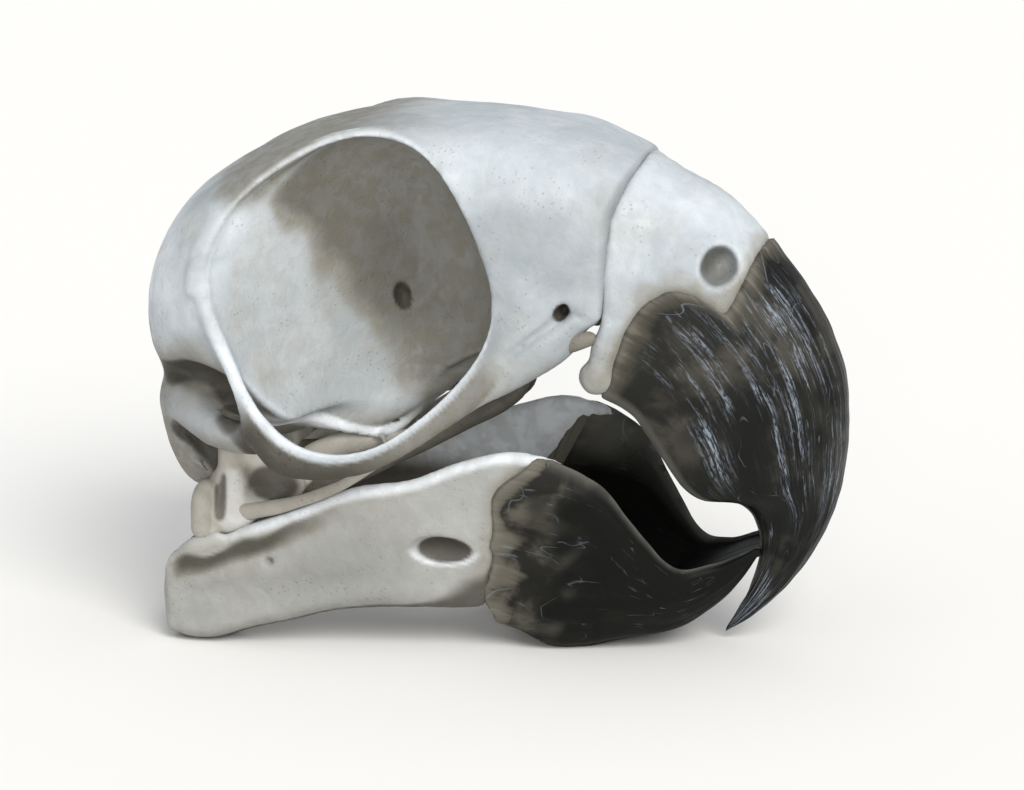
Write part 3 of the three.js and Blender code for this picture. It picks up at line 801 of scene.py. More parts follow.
class Effects:
    """The shared effects, each a node group that is built once."""

    def __init__(self) -> None:
        """Builds every effect."""
        scales = ["Scale", "Middle", "Spread"]
        self.clouds = self.build("Soft clouds", "Vector", scales, ["Mask"], self.wire_clouds)
        self.pores = self.build("Fine pores", "Vector", ["Scale"], ["Mask", "Height"], self.wire_pores)
        along = ("Growth", ["Fineness"])
        self.streaks = self.build("Growth streaks", *along, ["Mask", "Height"], self.wire_streaks)
        self.scratches = self.build("Pale scratches", *along, ["Mask"], self.wire_scratches)
        self.strokes = self.build("Dry strokes", *along, ["Mask"], self.wire_strokes)

    @staticmethod
    def build(
        name: str,
        vector: str,
        values: list[str],
        outputs: list[str],
        wire: Callable[[Wiring, Node, Node], None],
    ) -> bpy.types.ShaderNodeTree:
        """A node group with named sockets.

        Args:
            name: The group's name.
            vector: The name of its vector input.
            values: Names of its number inputs.
            outputs: Names of its outputs, all numbers.
            wire: Places and joins the nodes between the inputs and the outputs.

        Returns:
            The group's tree.
        """
        tree = bpy.data.node_groups.new(name, "ShaderNodeTree")
        tree.interface.new_socket(vector, in_out="INPUT", socket_type="NodeSocketVector")
        for socket in values:
            tree.interface.new_socket(socket, in_out="INPUT", socket_type="NodeSocketFloat")
        for socket in outputs:
            tree.interface.new_socket(socket, in_out="OUTPUT", socket_type="NodeSocketFloat")
        wiring = Wiring(tree)
        wire(wiring, wiring.node("NodeGroupInput"), wiring.node("NodeGroupOutput"))
        return tree

    @staticmethod
    def wire_clouds(w: Wiring, given: Node, out: Node) -> None:
        """Uneven patches: noise, with a soft threshold at Middle that is Spread wide."""
        noise = w.noise(given.outputs["Vector"], given.outputs["Scale"], 5.0, 0.55, 0.4)
        low = w.math("SUBTRACT", given.outputs["Middle"], given.outputs["Spread"])
        high = w.math("ADD", given.outputs["Middle"], given.outputs["Spread"])
        w.feed(out.inputs["Mask"], w.range(noise, low, high))

    @staticmethod
    def wire_pores(w: Wiring, given: Node, out: Node) -> None:
        """Small pits in patches, over a fine grain."""
        cells = w.node("ShaderNodeTexVoronoi", feature="F1")
        w.feed(cells.inputs["Vector"], given.outputs["Vector"])
        w.feed(cells.inputs["Scale"], given.outputs["Scale"])
        pits = w.range(cells.outputs["Distance"], 0.06, 0.26, 1.0, 0.0)
        patches = w.range(w.noise(given.outputs["Vector"], 210.0, 2.0), 0.44, 0.62)
        pits = w.times(pits, patches)
        grain = w.noise(given.outputs["Vector"], w.times(given.outputs["Scale"], 1.7), 4.0, 0.6)
        w.feed(out.inputs["Mask"], pits)
        w.feed(out.inputs["Height"], w.math("SUBTRACT", w.times(grain, 0.55), pits))

    @staticmethod
    def wire_streaks(w: Wiring, given: Node, out: Node) -> None:
        """Long fibres: noise stretched along the growth, coarse and fine together."""
        total = None
        for along, across, share in ((0.035, 0.55, 0.5), (0.07, 1.9, 0.32), (0.16, 5.2, 0.18)):
            scaled = w.vector("MULTIPLY", given.outputs["Growth"], (along, across, 1.0))
            noise = w.noise(scaled, given.outputs["Fineness"], 3.0, 0.55, 0.25)
            layer = w.times(noise, share)
            total = layer if total is None else w.math("ADD", total, layer)
        w.feed(out.inputs["Mask"], w.range(total, 0.38, 0.62))
        w.feed(out.inputs["Height"], total)

    @staticmethod
    def wire_strokes(w: Wiring, given: Node, out: Node) -> None:
        """Fine broken strokes that run along the growth: long thin noise times short thin noise. They break
        up the painted highlights.
        """
        total = None
        layers = ((0.08, 1.7, 0.44, 0.6), (0.3, 8.0, 0.42, 0.6), (1.5, 13.0, 0.36, 0.56))
        for along, across, low, high in layers:
            scaled = w.vector("MULTIPLY", given.outputs["Growth"], (along, across, 1.0))
            layer = w.range(w.noise(scaled, given.outputs["Fineness"], 3.0, 0.6, 0.15), low, high)
            total = layer if total is None else w.times(total, layer)
        w.feed(out.inputs["Mask"], total)

    @staticmethod
    def wire_scratches(w: Wiring, given: Node, out: Node) -> None:
        """Thin broken lines: the places where a stretched noise is just at its middle value."""
        total = None
        for along, across, width, gate in ((0.05, 0.9, 0.010, 3.1), (0.12, 0.33, 0.006, 7.7)):
            scaled = w.vector("MULTIPLY", given.outputs["Growth"], (along, across, 1.0))
            noise = w.noise(scaled, given.outputs["Fineness"], 1.5, 0.5, 0.6)
            off = w.math("ABSOLUTE", w.math("SUBTRACT", noise, 0.5))
            line = w.range(off, 0.0, width, 1.0, 0.0)
            moved = w.vector("ADD", given.outputs["Growth"], (gate, gate, gate))
            gaps = w.range(w.noise(moved, 0.35, 2.0), 0.52, 0.64)
            line = w.times(line, gaps)
            total = line if total is None else w.math("MAXIMUM", total, line)
        w.feed(out.inputs["Mask"], total)


def fresh_material(name: str) -> tuple[Material, Wiring, Node]:
    """A new material, the wiring of its nodes and its shader."""
    material = bpy.data.materials.new(name)
    material.use_nodes = True
    return material, Wiring(material.node_tree), material.node_tree.nodes["Principled BSDF"]


def add_relief(
    w: Wiring, shader: Node, height: Socket, strength: float, distance: float
) -> None:
    """Lets heights tilt a shader's surface, through a Bump node."""
    bump = w.node("ShaderNodeBump")
    bump.inputs["Strength"].default_value = strength
    bump.inputs["Distance"].default_value = distance
    w.feed(bump.inputs["Height"], height)
    w.feed(shader.inputs["Normal"], bump.outputs["Normal"])


@dataclass(frozen=True)
class BoneFinish:
    """Clean dry bone: faintly blue-white, gone brown in patches, with painted shade in hollows and under
    overhangs, and painted highlights on its rims.
    """

    name: str
    pale: Colour = (0.52, 0.555, 0.58)
    cool: Colour = (0.37, 0.41, 0.44)
    # the brown of stains, mixed in also as painted shade
    warm: Colour = (0.285, 0.264, 0.21)
    # the colour of painted shade
    dark: Colour = (0.04, 0.035, 0.025)
    # the colour of painted highlights and painted light
    rim: Colour = (0.82, 0.86, 0.90)
    rough: tuple[float, float] = (0.46, 0.66)
    pore_scale: float = 1500.0
    relief: float = 0.00012
    stain_share: float = 0.9

    def build(self, effects: Effects) -> Material:
        """The material, with its tint, stains, painted shade and painted highlights, pores and relief."""
        material, w, shader = fresh_material(self.name)
        place = w.node("ShaderNodeTexCoord").outputs["Object"]
        broad = w.group(effects.clouds, Vector=place, Scale=95.0, Middle=0.52, Spread=0.16).outputs["Mask"]
        small = w.group(effects.clouds, Vector=place, Scale=520.0, Middle=0.5, Spread=0.2).outputs["Mask"]
        aged = w.group(effects.clouds, Vector=place, Scale=160.0, Middle=0.6, Spread=0.14).outputs["Mask"]
        pores = w.group(effects.pores, Vector=place, Scale=self.pore_scale)
        colour = w.mix(broad, self.pale, self.cool)
        colour = w.mix(w.times(small, 0.3), colour, self.cool)
        colour = w.mix(w.times(aged, 0.34), colour, self.warm)
        # brown from stains and from painted shade
        stain = w.times(w.mark(Mark.STAIN_AND_PAINTED_SHADE), w.range(small, 0.0, 1.0, 0.72, 1.0))
        colour = w.mix(w.times(stain, self.stain_share), colour, self.warm)
        colour = w.mix(w.times(pores.outputs["Mask"], 0.4), colour, self.warm)
        # painted shade
        hollow = w.mark(Mark.PAINTED_SHADE)
        colour = w.mix(hollow, colour, self.dark)
        # painted highlights and painted light, a little uneven
        edge = w.times(w.mark(Mark.WEAR_AND_PAINTED_LIGHT), w.range(small, 0.0, 1.0, 1.0, 0.7))
        colour = w.mix(edge, colour, self.rim)
        w.feed(shader.inputs["Base Color"], colour)
        w.feed(shader.inputs["Roughness"], w.range(small, 0.0, 1.0, *self.rough))
        shader.inputs["Specular IOR Level"].default_value = 0.35
        height = w.math("ADD", pores.outputs["Height"], w.times(small, 0.9))
        add_relief(w, shader, height, 0.55, self.relief)
        return material


@dataclass(frozen=True)
class HornFinish:
    """Dark horn: streaked along its growth, brown and thin at its border, worn pale at its edge, with painted
    pale highlights along it and painted shade in its hollows.
    """

    name: str
    black: Colour = (0.0045, 0.005, 0.004)
    brown: Colour = (0.062, 0.056, 0.044)
    film: Colour = (0.17, 0.157, 0.13)
    worn: Colour = (0.14, 0.137, 0.12)
    # pale blue of the scratches and of the painted highlights
    scratch_and_highlight: Colour = (0.27, 0.31, 0.37)
    rough: tuple[float, float] = (0.36, 0.56)
    relief: float = 0.00022
    streak_share: float = 0.6
    scratch_share: float = 0.3
    shine: float = 0.16

    def build(self, effects: Effects) -> Material:
        """The material, with its streaks, its frayed border, painted highlights, scratches, worn edge and
        painted shade.
        """
        material, w, shader = fresh_material(self.name)
        place = w.node("ShaderNodeTexCoord").outputs["Object"]
        growth = w.mark(Mark.GROWTH, "Vector")
        streaks = w.group(effects.streaks, Growth=growth, Fineness=1.0)
        patches = w.group(effects.clouds, Vector=place, Scale=150.0, Middle=0.55, Spread=0.13).outputs["Mask"]
        scratches = w.group(effects.scratches, Growth=growth, Fineness=1.0).outputs["Mask"]
        pores = w.group(effects.pores, Vector=place, Scale=1900.0)
        brown = w.times(streaks.outputs["Mask"], w.range(patches, 0.0, 1.0, 0.05, 1.0))
        near_border = w.mark(Mark.STAIN_AND_PAINTED_SHADE)
        brown = w.times(brown, w.range(near_border, 0.0, 1.0, self.streak_share, 1.0))
        mottled = w.times(near_border, w.range(patches, 0.0, 1.0, 0.1, 0.8))
        colour = w.mix(w.math("MAXIMUM", brown, mottled), self.black, self.brown)
        fray = w.mark(Mark.FRAY)
        uneven = w.times(w.math("SUBTRACT", streaks.outputs["Height"], 0.5), 2.2)
        torn = w.math("ADD", fray, uneven)
        colour = w.mix(w.range(torn, 0.3, 0.8, 0.0, 0.85), colour, self.brown)
        colour = w.mix(w.range(torn, 0.72, 1.25), colour, self.film)
        # painted highlights: pale strips broken into strokes
        strokes = w.group(effects.strokes, Growth=growth, Fineness=1.0).outputs["Mask"]
        highlight_bands = w.times(strokes, w.mark(Mark.PAINTED_HIGHLIGHT))
        colour = w.mix(w.times(highlight_bands, 0.85), colour, self.scratch_and_highlight)
        worn = w.times(w.mark(Mark.WEAR_AND_PAINTED_LIGHT), w.range(patches, 0.0, 1.0, 0.8, 0.3))
        colour = w.mix(worn, colour, self.worn)
        colour = w.mix(w.times(scratches, self.scratch_share), colour, self.scratch_and_highlight)
        # painted shade in the horn's hollows
        colour = w.mix(w.mark(Mark.PAINTED_SHADE), colour, self.black)
        w.feed(shader.inputs["Base Color"], colour)
        rough = w.range(streaks.outputs["Mask"], 0.0, 1.0, *self.rough)
        w.feed(shader.inputs["Roughness"], w.math("ADD", rough, w.times(fray, 0.2)))
        shader.inputs["Specular IOR Level"].default_value = self.shine
        height = w.math("ADD", streaks.outputs["Height"], w.times(pores.outputs["Height"], 0.12))
        add_relief(w, shader, height, 0.8, self.relief)
        return material


@dataclass
class Finishes:
    """Every material of the skull, built on the shared effects."""

    effects: Effects = field(default_factory=Effects)

    def __post_init__(self) -> None:
        """Builds the materials."""
        self.bone = BoneFinish("Pale bone").build(self.effects)
        self.jaw_bone = BoneFinish(
            "Jaw bone", pale=(0.45, 0.455, 0.44), cool=(0.36, 0.37, 0.365), warm=(0.24, 0.225, 0.185)
        ).build(self.effects)
        # browner and darker than the cranium's bone: the small bones' own brown, and painted shade, as they
        # lie deep between the jaws
        self.small_bone = BoneFinish(
            "Brown bone", pale=(0.46, 0.435, 0.385), cool=(0.37, 0.35, 0.305), warm=(0.17, 0.152, 0.12)
        ).build(self.effects)
        self.bill_horn = HornFinish("Bill horn").build(self.effects)
        self.jaw_horn = HornFinish(
            "Jaw horn", brown=(0.12, 0.11, 0.088), streak_share=0.05, rough=(0.45, 0.6), relief=0.00014,
            scratch_share=0.25, shine=0.1,
        ).build(self.effects)


def in_scene(name: str, data: bpy.types.ID) -> bpy.types.Object:
    """A new object that is linked to the scene."""
    made = bpy.data.objects.new(name, data)
    bpy.context.scene.collection.objects.link(made)
    return made


def placed(
    name: str, surface: Surface, material: Material, node: str
) -> bpy.types.Object:
    """A finished piece that stands for a CAD node.

    Args:
        name: The piece's name.
        surface: Its shape.
        material: Its finish.
        node: The CAD node that it stands for.

    Returns:
        The piece, riding on the skull.
    """
    mesh = surface.mesh(name)
    mesh.materials.append(material)
    piece = in_scene(name, mesh)
    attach(piece, BODY)
    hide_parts(node)
    log.info("%s: %d points, %d faces", name, len(mesh.vertices), len(mesh.polygons))
    return piece


# ---------------------------------------------------------------- cranium


@dataclass
class Cranium:
    """The braincase, the forehead, the eye sockets with their arches, and the ridges round them."""

    pitch: float = 0.4
    low: Point = (-41.0, 0.0, 17.0)
    high: Point = (20.5, 23.2, 61.2)
    back: float = -40.0  # just behind the rearmost point
    hinge_gap: float = -0.12  # below 0, so that the hinge is a groove and not a slit
    socket: EyeSocket = field(default_factory=EyeSocket)
    bill: BillForm = field(default_factory=BillForm)
    # x, top, underside, half width, height of the widest place, squareness
    rows: Rows = (
        (-39.9, 38.6, 36.0, 1.0, 37.4, 2.0), (-39.3, 42.6, 32.4, 8.0, 37.6, 2.0),
        (-37.6, 46.6, 29.4, 14.0, 38.0, 2.1), (-34.6, 50.5, 26.6, 18.2, 38.6, 2.4),
        (-30.2, 53.8, 25.0, 20.4, 39.6, 2.6), (-24.5, 56.9, 24.2, 20.8, 41.0, 2.8),
        (-18.0, 58.7, 23.6, 19.2, 42.4, 3.4), (-11.0, 59.8, 24.8, 16.8, 43.2, 3.9),
        (-4.0, 60.0, 30.2, 14.9, 45.0, 3.6), (3.0, 59.8, 35.4, 13.5, 46.4, 3.2),
        (10.0, 58.9, 37.8, 12.7, 47.0, 2.9), (17.0, 56.0, 38.2, 12.1, 46.6, 2.7),
        (23.0, 53.0, 39.0, 11.7, 46.4, 2.6),
    )
    # middle, half axes and tilt of each part of the temporal hollow
    fossae: tuple[tuple[Point, Point, float], ...] = (
        ((-29.4, 20.4, 30.6), (5.9, 5.6, 2.8), 0.34),
        ((-34.4, 17.4, 31.2), (3.2, 3.8, 1.6), 0.15),
    )
    ear_path: Line = (
        (-33.6, 15.0, 25.0), (-31.8, 15.0, 24.0), (-30.2, 15.2, 22.2), (-29.3, 15.2, 20.2),
    )
    ear_radii: tuple[float, ...] = (0.4, 1.0, 1.4, 1.4)
    # the temporal hollow's upper border, darkened with painted shade, and the crest of the ridge under it
    fossa_line: Line = (
        (-34.4, 14.0, 31.8), (-31.8, 15.0, 32.0), (-29.7, 15.0, 31.5), (-27.8, 15.5, 30.1),
        (-26.6, 16.0, 28.4), (-25.8, 16.5, 27.2),
    )
    ridge_line: Line = (
        (-33.4, 15.6, 27.8), (-30.4, 17.8, 27.2), (-28.2, 18.8, 26.8), (-26.2, 19.6, 26.9),
    )
    floor_edge: Line = (
        (-26.4, 12.4, 26.4), (-24.5, 11.2, 25.6), (-22.4, 10.1, 25.8), (-20.7, 8.9, 25.7), (-18.9, 8.0, 24.9),
        (-17.2, 7.0, 24.0), (-15.2, 5.6, 23.4), (-13.3, 4.0, 23.0), (-11.6, 2.6, 23.5), (-9.6, 1.4, 25.2),
    )
    floor_radii: tuple[float, ...] = (0.9, 0.9, 0.85, 0.7, 0.55, 0.5, 0.55, 0.75, 0.6, 0.5)
    nerve_hole: Point = (-11.3, 1.9, 38.5)
    tear_hole: Point = (9.7, 12.6, 40.2)
    # x, half width left, top of the cut
    undercut_rows: Rows = (
        (-24.0, 10.5, 24.6), (-21.0, 8.8, 26.2), (-17.5, 7.4, 26.8), (-13.5, 5.6, 27.0),
        (-9.5, 3.0, 28.4), (-5.0, 0.9, 31.0), (0.0, 0.9, 33.5), (3.0, 0.9, 34.0),
    )

    def vault(self, clay: Clay) -> Array:
        """Distances to the braincase and forehead.

        Across each x the outline is a superellipse: (side / half)^n + (rise / reach)^n is 1. The
        rows are read by the root of the distance from the back, which rounds the rear end.
        """
        table = np.array(self.rows)
        keys = np.sqrt(table[:, 0] - self.back)
        read = through(keys, table[:, 1:], np.sqrt(np.maximum(clay.x - self.back, 0.04)))
        top, under, half, wide, square = np.moveaxis(read, -1, 0)
        rise = clay.z - wide
        reach = np.where(rise > 0, top - wide, wide - under)
        size = ((clay.side / half) ** square + (np.abs(rise) / reach) ** square) ** (1 / square)
        away = np.sqrt(clay.side**2 + rise**2)
        shape = away - away / np.maximum(size, 1e-3)
        return np.maximum(clay.evened(shape), self.back + 0.1 - clay.x)

    def undercut(self, clay: Clay) -> Array:
        """Distances to the space under the sockets, outside a narrow middle part."""
        half, top = columns_at(self.undercut_rows, clay.x)
        return soft_max(half - clay.side, clay.z - top, 1.5)

    def model(self) -> Clay:
        """The cranium in clay."""
        clay = Clay(self.low, self.high, self.pitch)
        clay.add(self.vault(clay), 0.1)
        clay.cut(self.socket.bowl(clay), 0.6)
        clay.cut(self.undercut(clay), 1.2)
        self.rear_hollows(clay)
        clay.add(self.socket.hoop(clay), 1.0)
        self.rear_ridges(clay)
        self.middle_bars(clay)
        clay.add(self.socket.bead(clay), 0.45)
        self.small_openings(clay)
        hinge = line_through(self.bill.hinge, clay.z) - self.hinge_gap - clay.x
        clay.cut(hinge + 0 * clay.values, 0.9)
        return clay

    def rear_hollows(self, clay: Clay) -> None:
        """The temporal hollow behind the socket, in two parts."""
        for middle, radii, tilt in self.fossae:
            clay.ball(middle, radii, tilt, joint=1.1, cut=True)

    def rear_ridges(self, clay: Clay) -> None:
        """The ridge under the temporal hollow, the bulge behind the jaw's joint and the ear's slot."""
        clay.ball((-28.0, 0.0, 25.0), (7.0, 10.5, 3.6), 0.0, joint=1.6)
        clay.ball((-32.9, 12.0, 25.2), (3.7, 3.0, 7.6), -0.17, joint=1.3)
        crest = [(-34.6, 12.8, 28.0), (-33.0, 15.4, 27.4), (-30.4, 17.3, 26.5), (-28.6, 18.1, 26.0)]
        crest += [(-26.0, 19.2, 26.1), (-23.6, 20.0, 26.3)]
        clay.rod(crest, [1.5, 1.7, 1.75, 1.7, 1.3, 1.1], 2.2)
        clay.rod([(-29.0, 17.6, 24.9), (-26.4, 18.4, 24.4), (-23.6, 19.4, 24.6)], [0.9, 1.0, 0.9], 1.0)
        clay.rod([(-31.2, 11.2, 25.4), (-29.6, 11.4, 22.4), (-29.0, 11.4, 20.8)], [2.6, 2.2, 1.9], 1.2)
        clay.rod(self.ear_path, self.ear_radii, 0.5, cut=True)
        clay.rod([(-33.4, 14.5, 22.4), (-32.2, 14.9, 21.4), (-30.6, 14.9, 20.1)], [0.32, 0.4, 0.3], 0.25)

    def middle_bars(self, clay: Clay) -> None:
        """The bar under the wall between the sockets, the knob at the neck and the bars beside it."""
        beam = [(-26, 0, 25.6), (-18, 0, 24.6), (-12.6, 0, 24.9), (-8, 0, 27.6), (-2, 0, 32.4), (6, 0, 38.4)]
        clay.rod(beam, [3.2, 2.4, 1.6, 1.1, 1.0, 1.4], 1.0)
        clay.rod([(-33.4, 0, 27.0), (-33.9, 0, 23.6)], [1.8, 1.5], 0.8)
        clay.rod(self.floor_edge, self.floor_radii, 0.5)
        clay.rod([(-13.6, 4.2, 23.0), (-12.4, 6.2, 22.5), (-11.7, 7.8, 22.3)], [0.5, 0.38, 0.22], 0.5)
        clay.ball((11.2, 11.3, 40.2), (3.2, 1.4, 1.9), 0.0, joint=1.4)

    def small_openings(self, clay: Clay) -> None:
        """The neck's opening, the nerve's opening in the socket and the tear duct's in front."""
        clay.ball((-37.5, 0, 27.0), (4.5, 3.6, 3.0), 0.7, joint=0.6, cut=True)
        clay.ball(self.nerve_hole, (0.85, 1.25, 1.6), -0.25, joint=0.3, cut=True)
        clay.ball(self.tear_hole, (0.7, 2.4, 0.95), 0.55, joint=0.4, cut=True)
        ahead = [(10.0, 12.7, 40.0), (11.4, 12.6, 39.9), (12.6, 12.4, 39.3)]
        clay.rod(ahead, [0.45, 0.3, 0.22], 0.4, cut=True)
        behind = [(9.6, 13.4, 39.4), (7.4, 14.2, 37.9), (4.2, 15.2, 35.4)]
        clay.rod(behind, [0.5, 0.42, 0.25], 0.9, cut=True)

    def marks(self, clay: Clay, surface: Surface) -> dict[Mark, Array]:
        """Where painted shade darkens the bone, painted highlights pale it, and stains and painted shade
        brown it.

        Args:
            clay: The clay that the surface was drawn from.
            surface: The cranium's surface.

        Returns:
            Values from 0 to 1 for the surface's points.
        """
        x, side, z = surface.places()
        wide = clay.sampled(clay.crowding(1.9), surface.points)
        close = clay.sampled(clay.crowding(0.8), surface.points)
        place = np.stack([x, side, z], -1)
        blots = ripples(place, 6.0, 5)
        angle, radius = self.socket.polar(x, z)
        turn = np.degrees(angle)
        out = radius - self.socket.radius(angle)
        depth = self.socket.side(x, z) - side
        in_socket = ease(-out, -0.2, 0.8) * ease(depth, 0.8, 2.5)
        bead = np.hypot(out - 0.25, depth - 0.1) / line_through(self.socket.bead_radii, turn)
        # painted shade: the socket's upper right side is darkened, as if lit from the upper right
        slant = 0.85 * (x - self.socket.x) + 0.5 * (z - self.socket.z) + 0.5 * blots
        shade = 1.15 * ease(slant, -5.4, -1.6) * (1 - 0.5 * ease(slant, 0.5, 7.0))
        shade = shade * (1 - 0.35 * ease(self.socket.z - z, 2, 9))
        # painted shade in the temporal hollow, along its upper border and in the ear's slot
        fossa = np.max([fall(in_ball(place, *hollow), 0.95, 1.5) for hollow in self.fossae], axis=0)
        fossa = fossa * ease(out, 1.7, 2.6) * ease(side, 9, 12)
        flat = place * FLATTENED
        crescent = fall(to_line(flat, self.fossa_line * FLATTENED) + 0.3 * blots, 1.2, 2.6)
        crescent = crescent * ease(out, 1.0, 1.4) * ease(side, 9, 12)
        ear = fall(to_line(flat, self.ear_path * FLATTENED), 1.1, 1.9)
        ear = ear * ease(side, 7, 9)
        # painted light: the bar along the socket's floor is painted pale
        bar = fall(to_line(place, self.floor_edge), 0.7, 1.2) * ease(-x, 9, 12)
        # painted shade in the nerve's and the tear duct's openings
        holes = fall(in_ball(place, self.nerve_hole, (0.9, 1.6, 1.65), -0.25), 1.0, 1.25)
        holes = np.maximum(holes, fall(in_ball(place, self.tear_hole, (0.75, 2.6, 1.0), 0.55), 1.0, 1.2))
        # painted shade under the arch round the socket, deepest below and behind
        under_arch = ease(out, 0.4, 0.9) * fall(out, 4.6, 6.0) * ease(-depth, -7.0, -4.5)
        under_arch = under_arch * ease(turn, -140, -122) * fall(turn, -34, -18)
        under_arch = under_arch * (1 - 0.8 * ease(out, 2.9, 3.5) * ease(turn, -75, -50))
        deep_arch = under_arch * fall(turn, -92, -62)
        # zones that are browned or given painted shade below: the bottom, the roof behind the socket, the
        # lower front plate, the lower rear, the ridge, the hinge's groove, the cheek and the brow
        base = ease(-z, -27.5, -24) * fall(side, 15, 17)
        roof = 0.95 * ease(z + 0.35 * x + 1.2 * blots, 39, 44) * fall(x, -19, -5) * ease(x, -40, -34)
        roof = roof * (1 - in_socket) * (1 - 0.75 * ease(out + 0.8 * blots, 2.0, 7.5))
        plate = 0.4 * ease(-z, -40, -33) * ease(x, -4, 4)
        rear = ease(-z - 0.6 * blots, -38.5, -32.5) * fall(x, -26, -22) * (1 - in_socket)
        rear = rear * ease(out, 0.8, 1.8)
        ridge = fall(to_line(place, self.ridge_line), 1.2, 2.6)
        hinge = fall(np.abs(line_through(self.bill.hinge, z) - x), 0.25, 0.9) * ease(z, 38, 41)
        cheek = ease(x, -6, 2) * ease(-z, -43, -38) * (1 - in_socket)
        brow = ease(x, -3, 1) * fall(z, 50, 54) * (1 - in_socket)
        # painted shade: the largest of all the above, and of the darkness of crowded places
        arch = 0.52 * under_arch + 0.45 * deep_arch
        shades = [arch, 0.42 * fossa, 0.93 * crescent, 0.97 * ear, 0.95 * holes, 0.56 * in_socket * shade]
        shades += [0.4 * rear, 0.3 * hinge, 0.36 * roof, 0.2 * cheek, 0.2 * brow, 0.2 * ridge]
        hollow = np.max([*shades, 0.85 * ease(wide, 0.64, 0.88)], axis=0)
        # painted highlights on the socket's rim line and on sharp edges, and painted light on the floor bar,
        # the crown and the nape
        rim = fall(bead, 0.8, 1.5) * (1 - ease(turn, -20, 10) * fall(turn, 60, 80))
        sharp = ease(-close, -0.36, -0.22) * (z > 25) * (1 - under_arch) * (1 - in_socket)
        rim = np.maximum(rim, 0.5 * sharp)
        rim = np.maximum(rim * (1 - deep_arch), 0.9 * bar)
        crown = ease(x, -14, -2) * ease(z, 51, 57)
        nape = ease(-x, 32, 36) * ease(z, 37, 41)
        rim = np.max([rim, 0.12 * crown, 0.55 * nape], axis=0)
        hollow = hollow * (1 - bar)
        # brown: the socket's lining, most where its painted shade falls, the arch's underside, the bottom,
        # roof, rear and temporal hollow, and crowded places; less on the ridge
        lining = in_socket * (0.35 + 0.65 * ease(shade, 0.05, 0.5))
        stain = np.max([lining, 0.95 * under_arch, base, roof, 0.9 * rear, 0.95 * fossa], axis=0)
        stain = np.clip(stain + plate + 0.6 * ease(wide, 0.54, 0.66), 0, 1) * (1 - 0.8 * ridge)
        return {Mark.PAINTED_SHADE: hollow, Mark.WEAR_AND_PAINTED_LIGHT: np.clip(rim, 0, 1), Mark.STAIN_AND_PAINTED_SHADE: stain}

    def build(self, finishes: Finishes) -> None:
        """Models and finishes the cranium."""
        clay = self.model()
        surface = clay.skin().relaxed(2)
        surface.marks = self.marks(clay, surface)
        calm = 1 - surface.marks[Mark.WEAR_AND_PAINTED_LIGHT]
        broad, fine = ripples(surface.points, 7.0, 3), ripples(surface.points, 2.4, 4)
        surface.raised(0.05 * calm * broad + 0.02 * calm * fine)
        placed("cranium_bone", surface, finishes.bone, "cranium")


# ---------------------------------------------------------------- upper bill


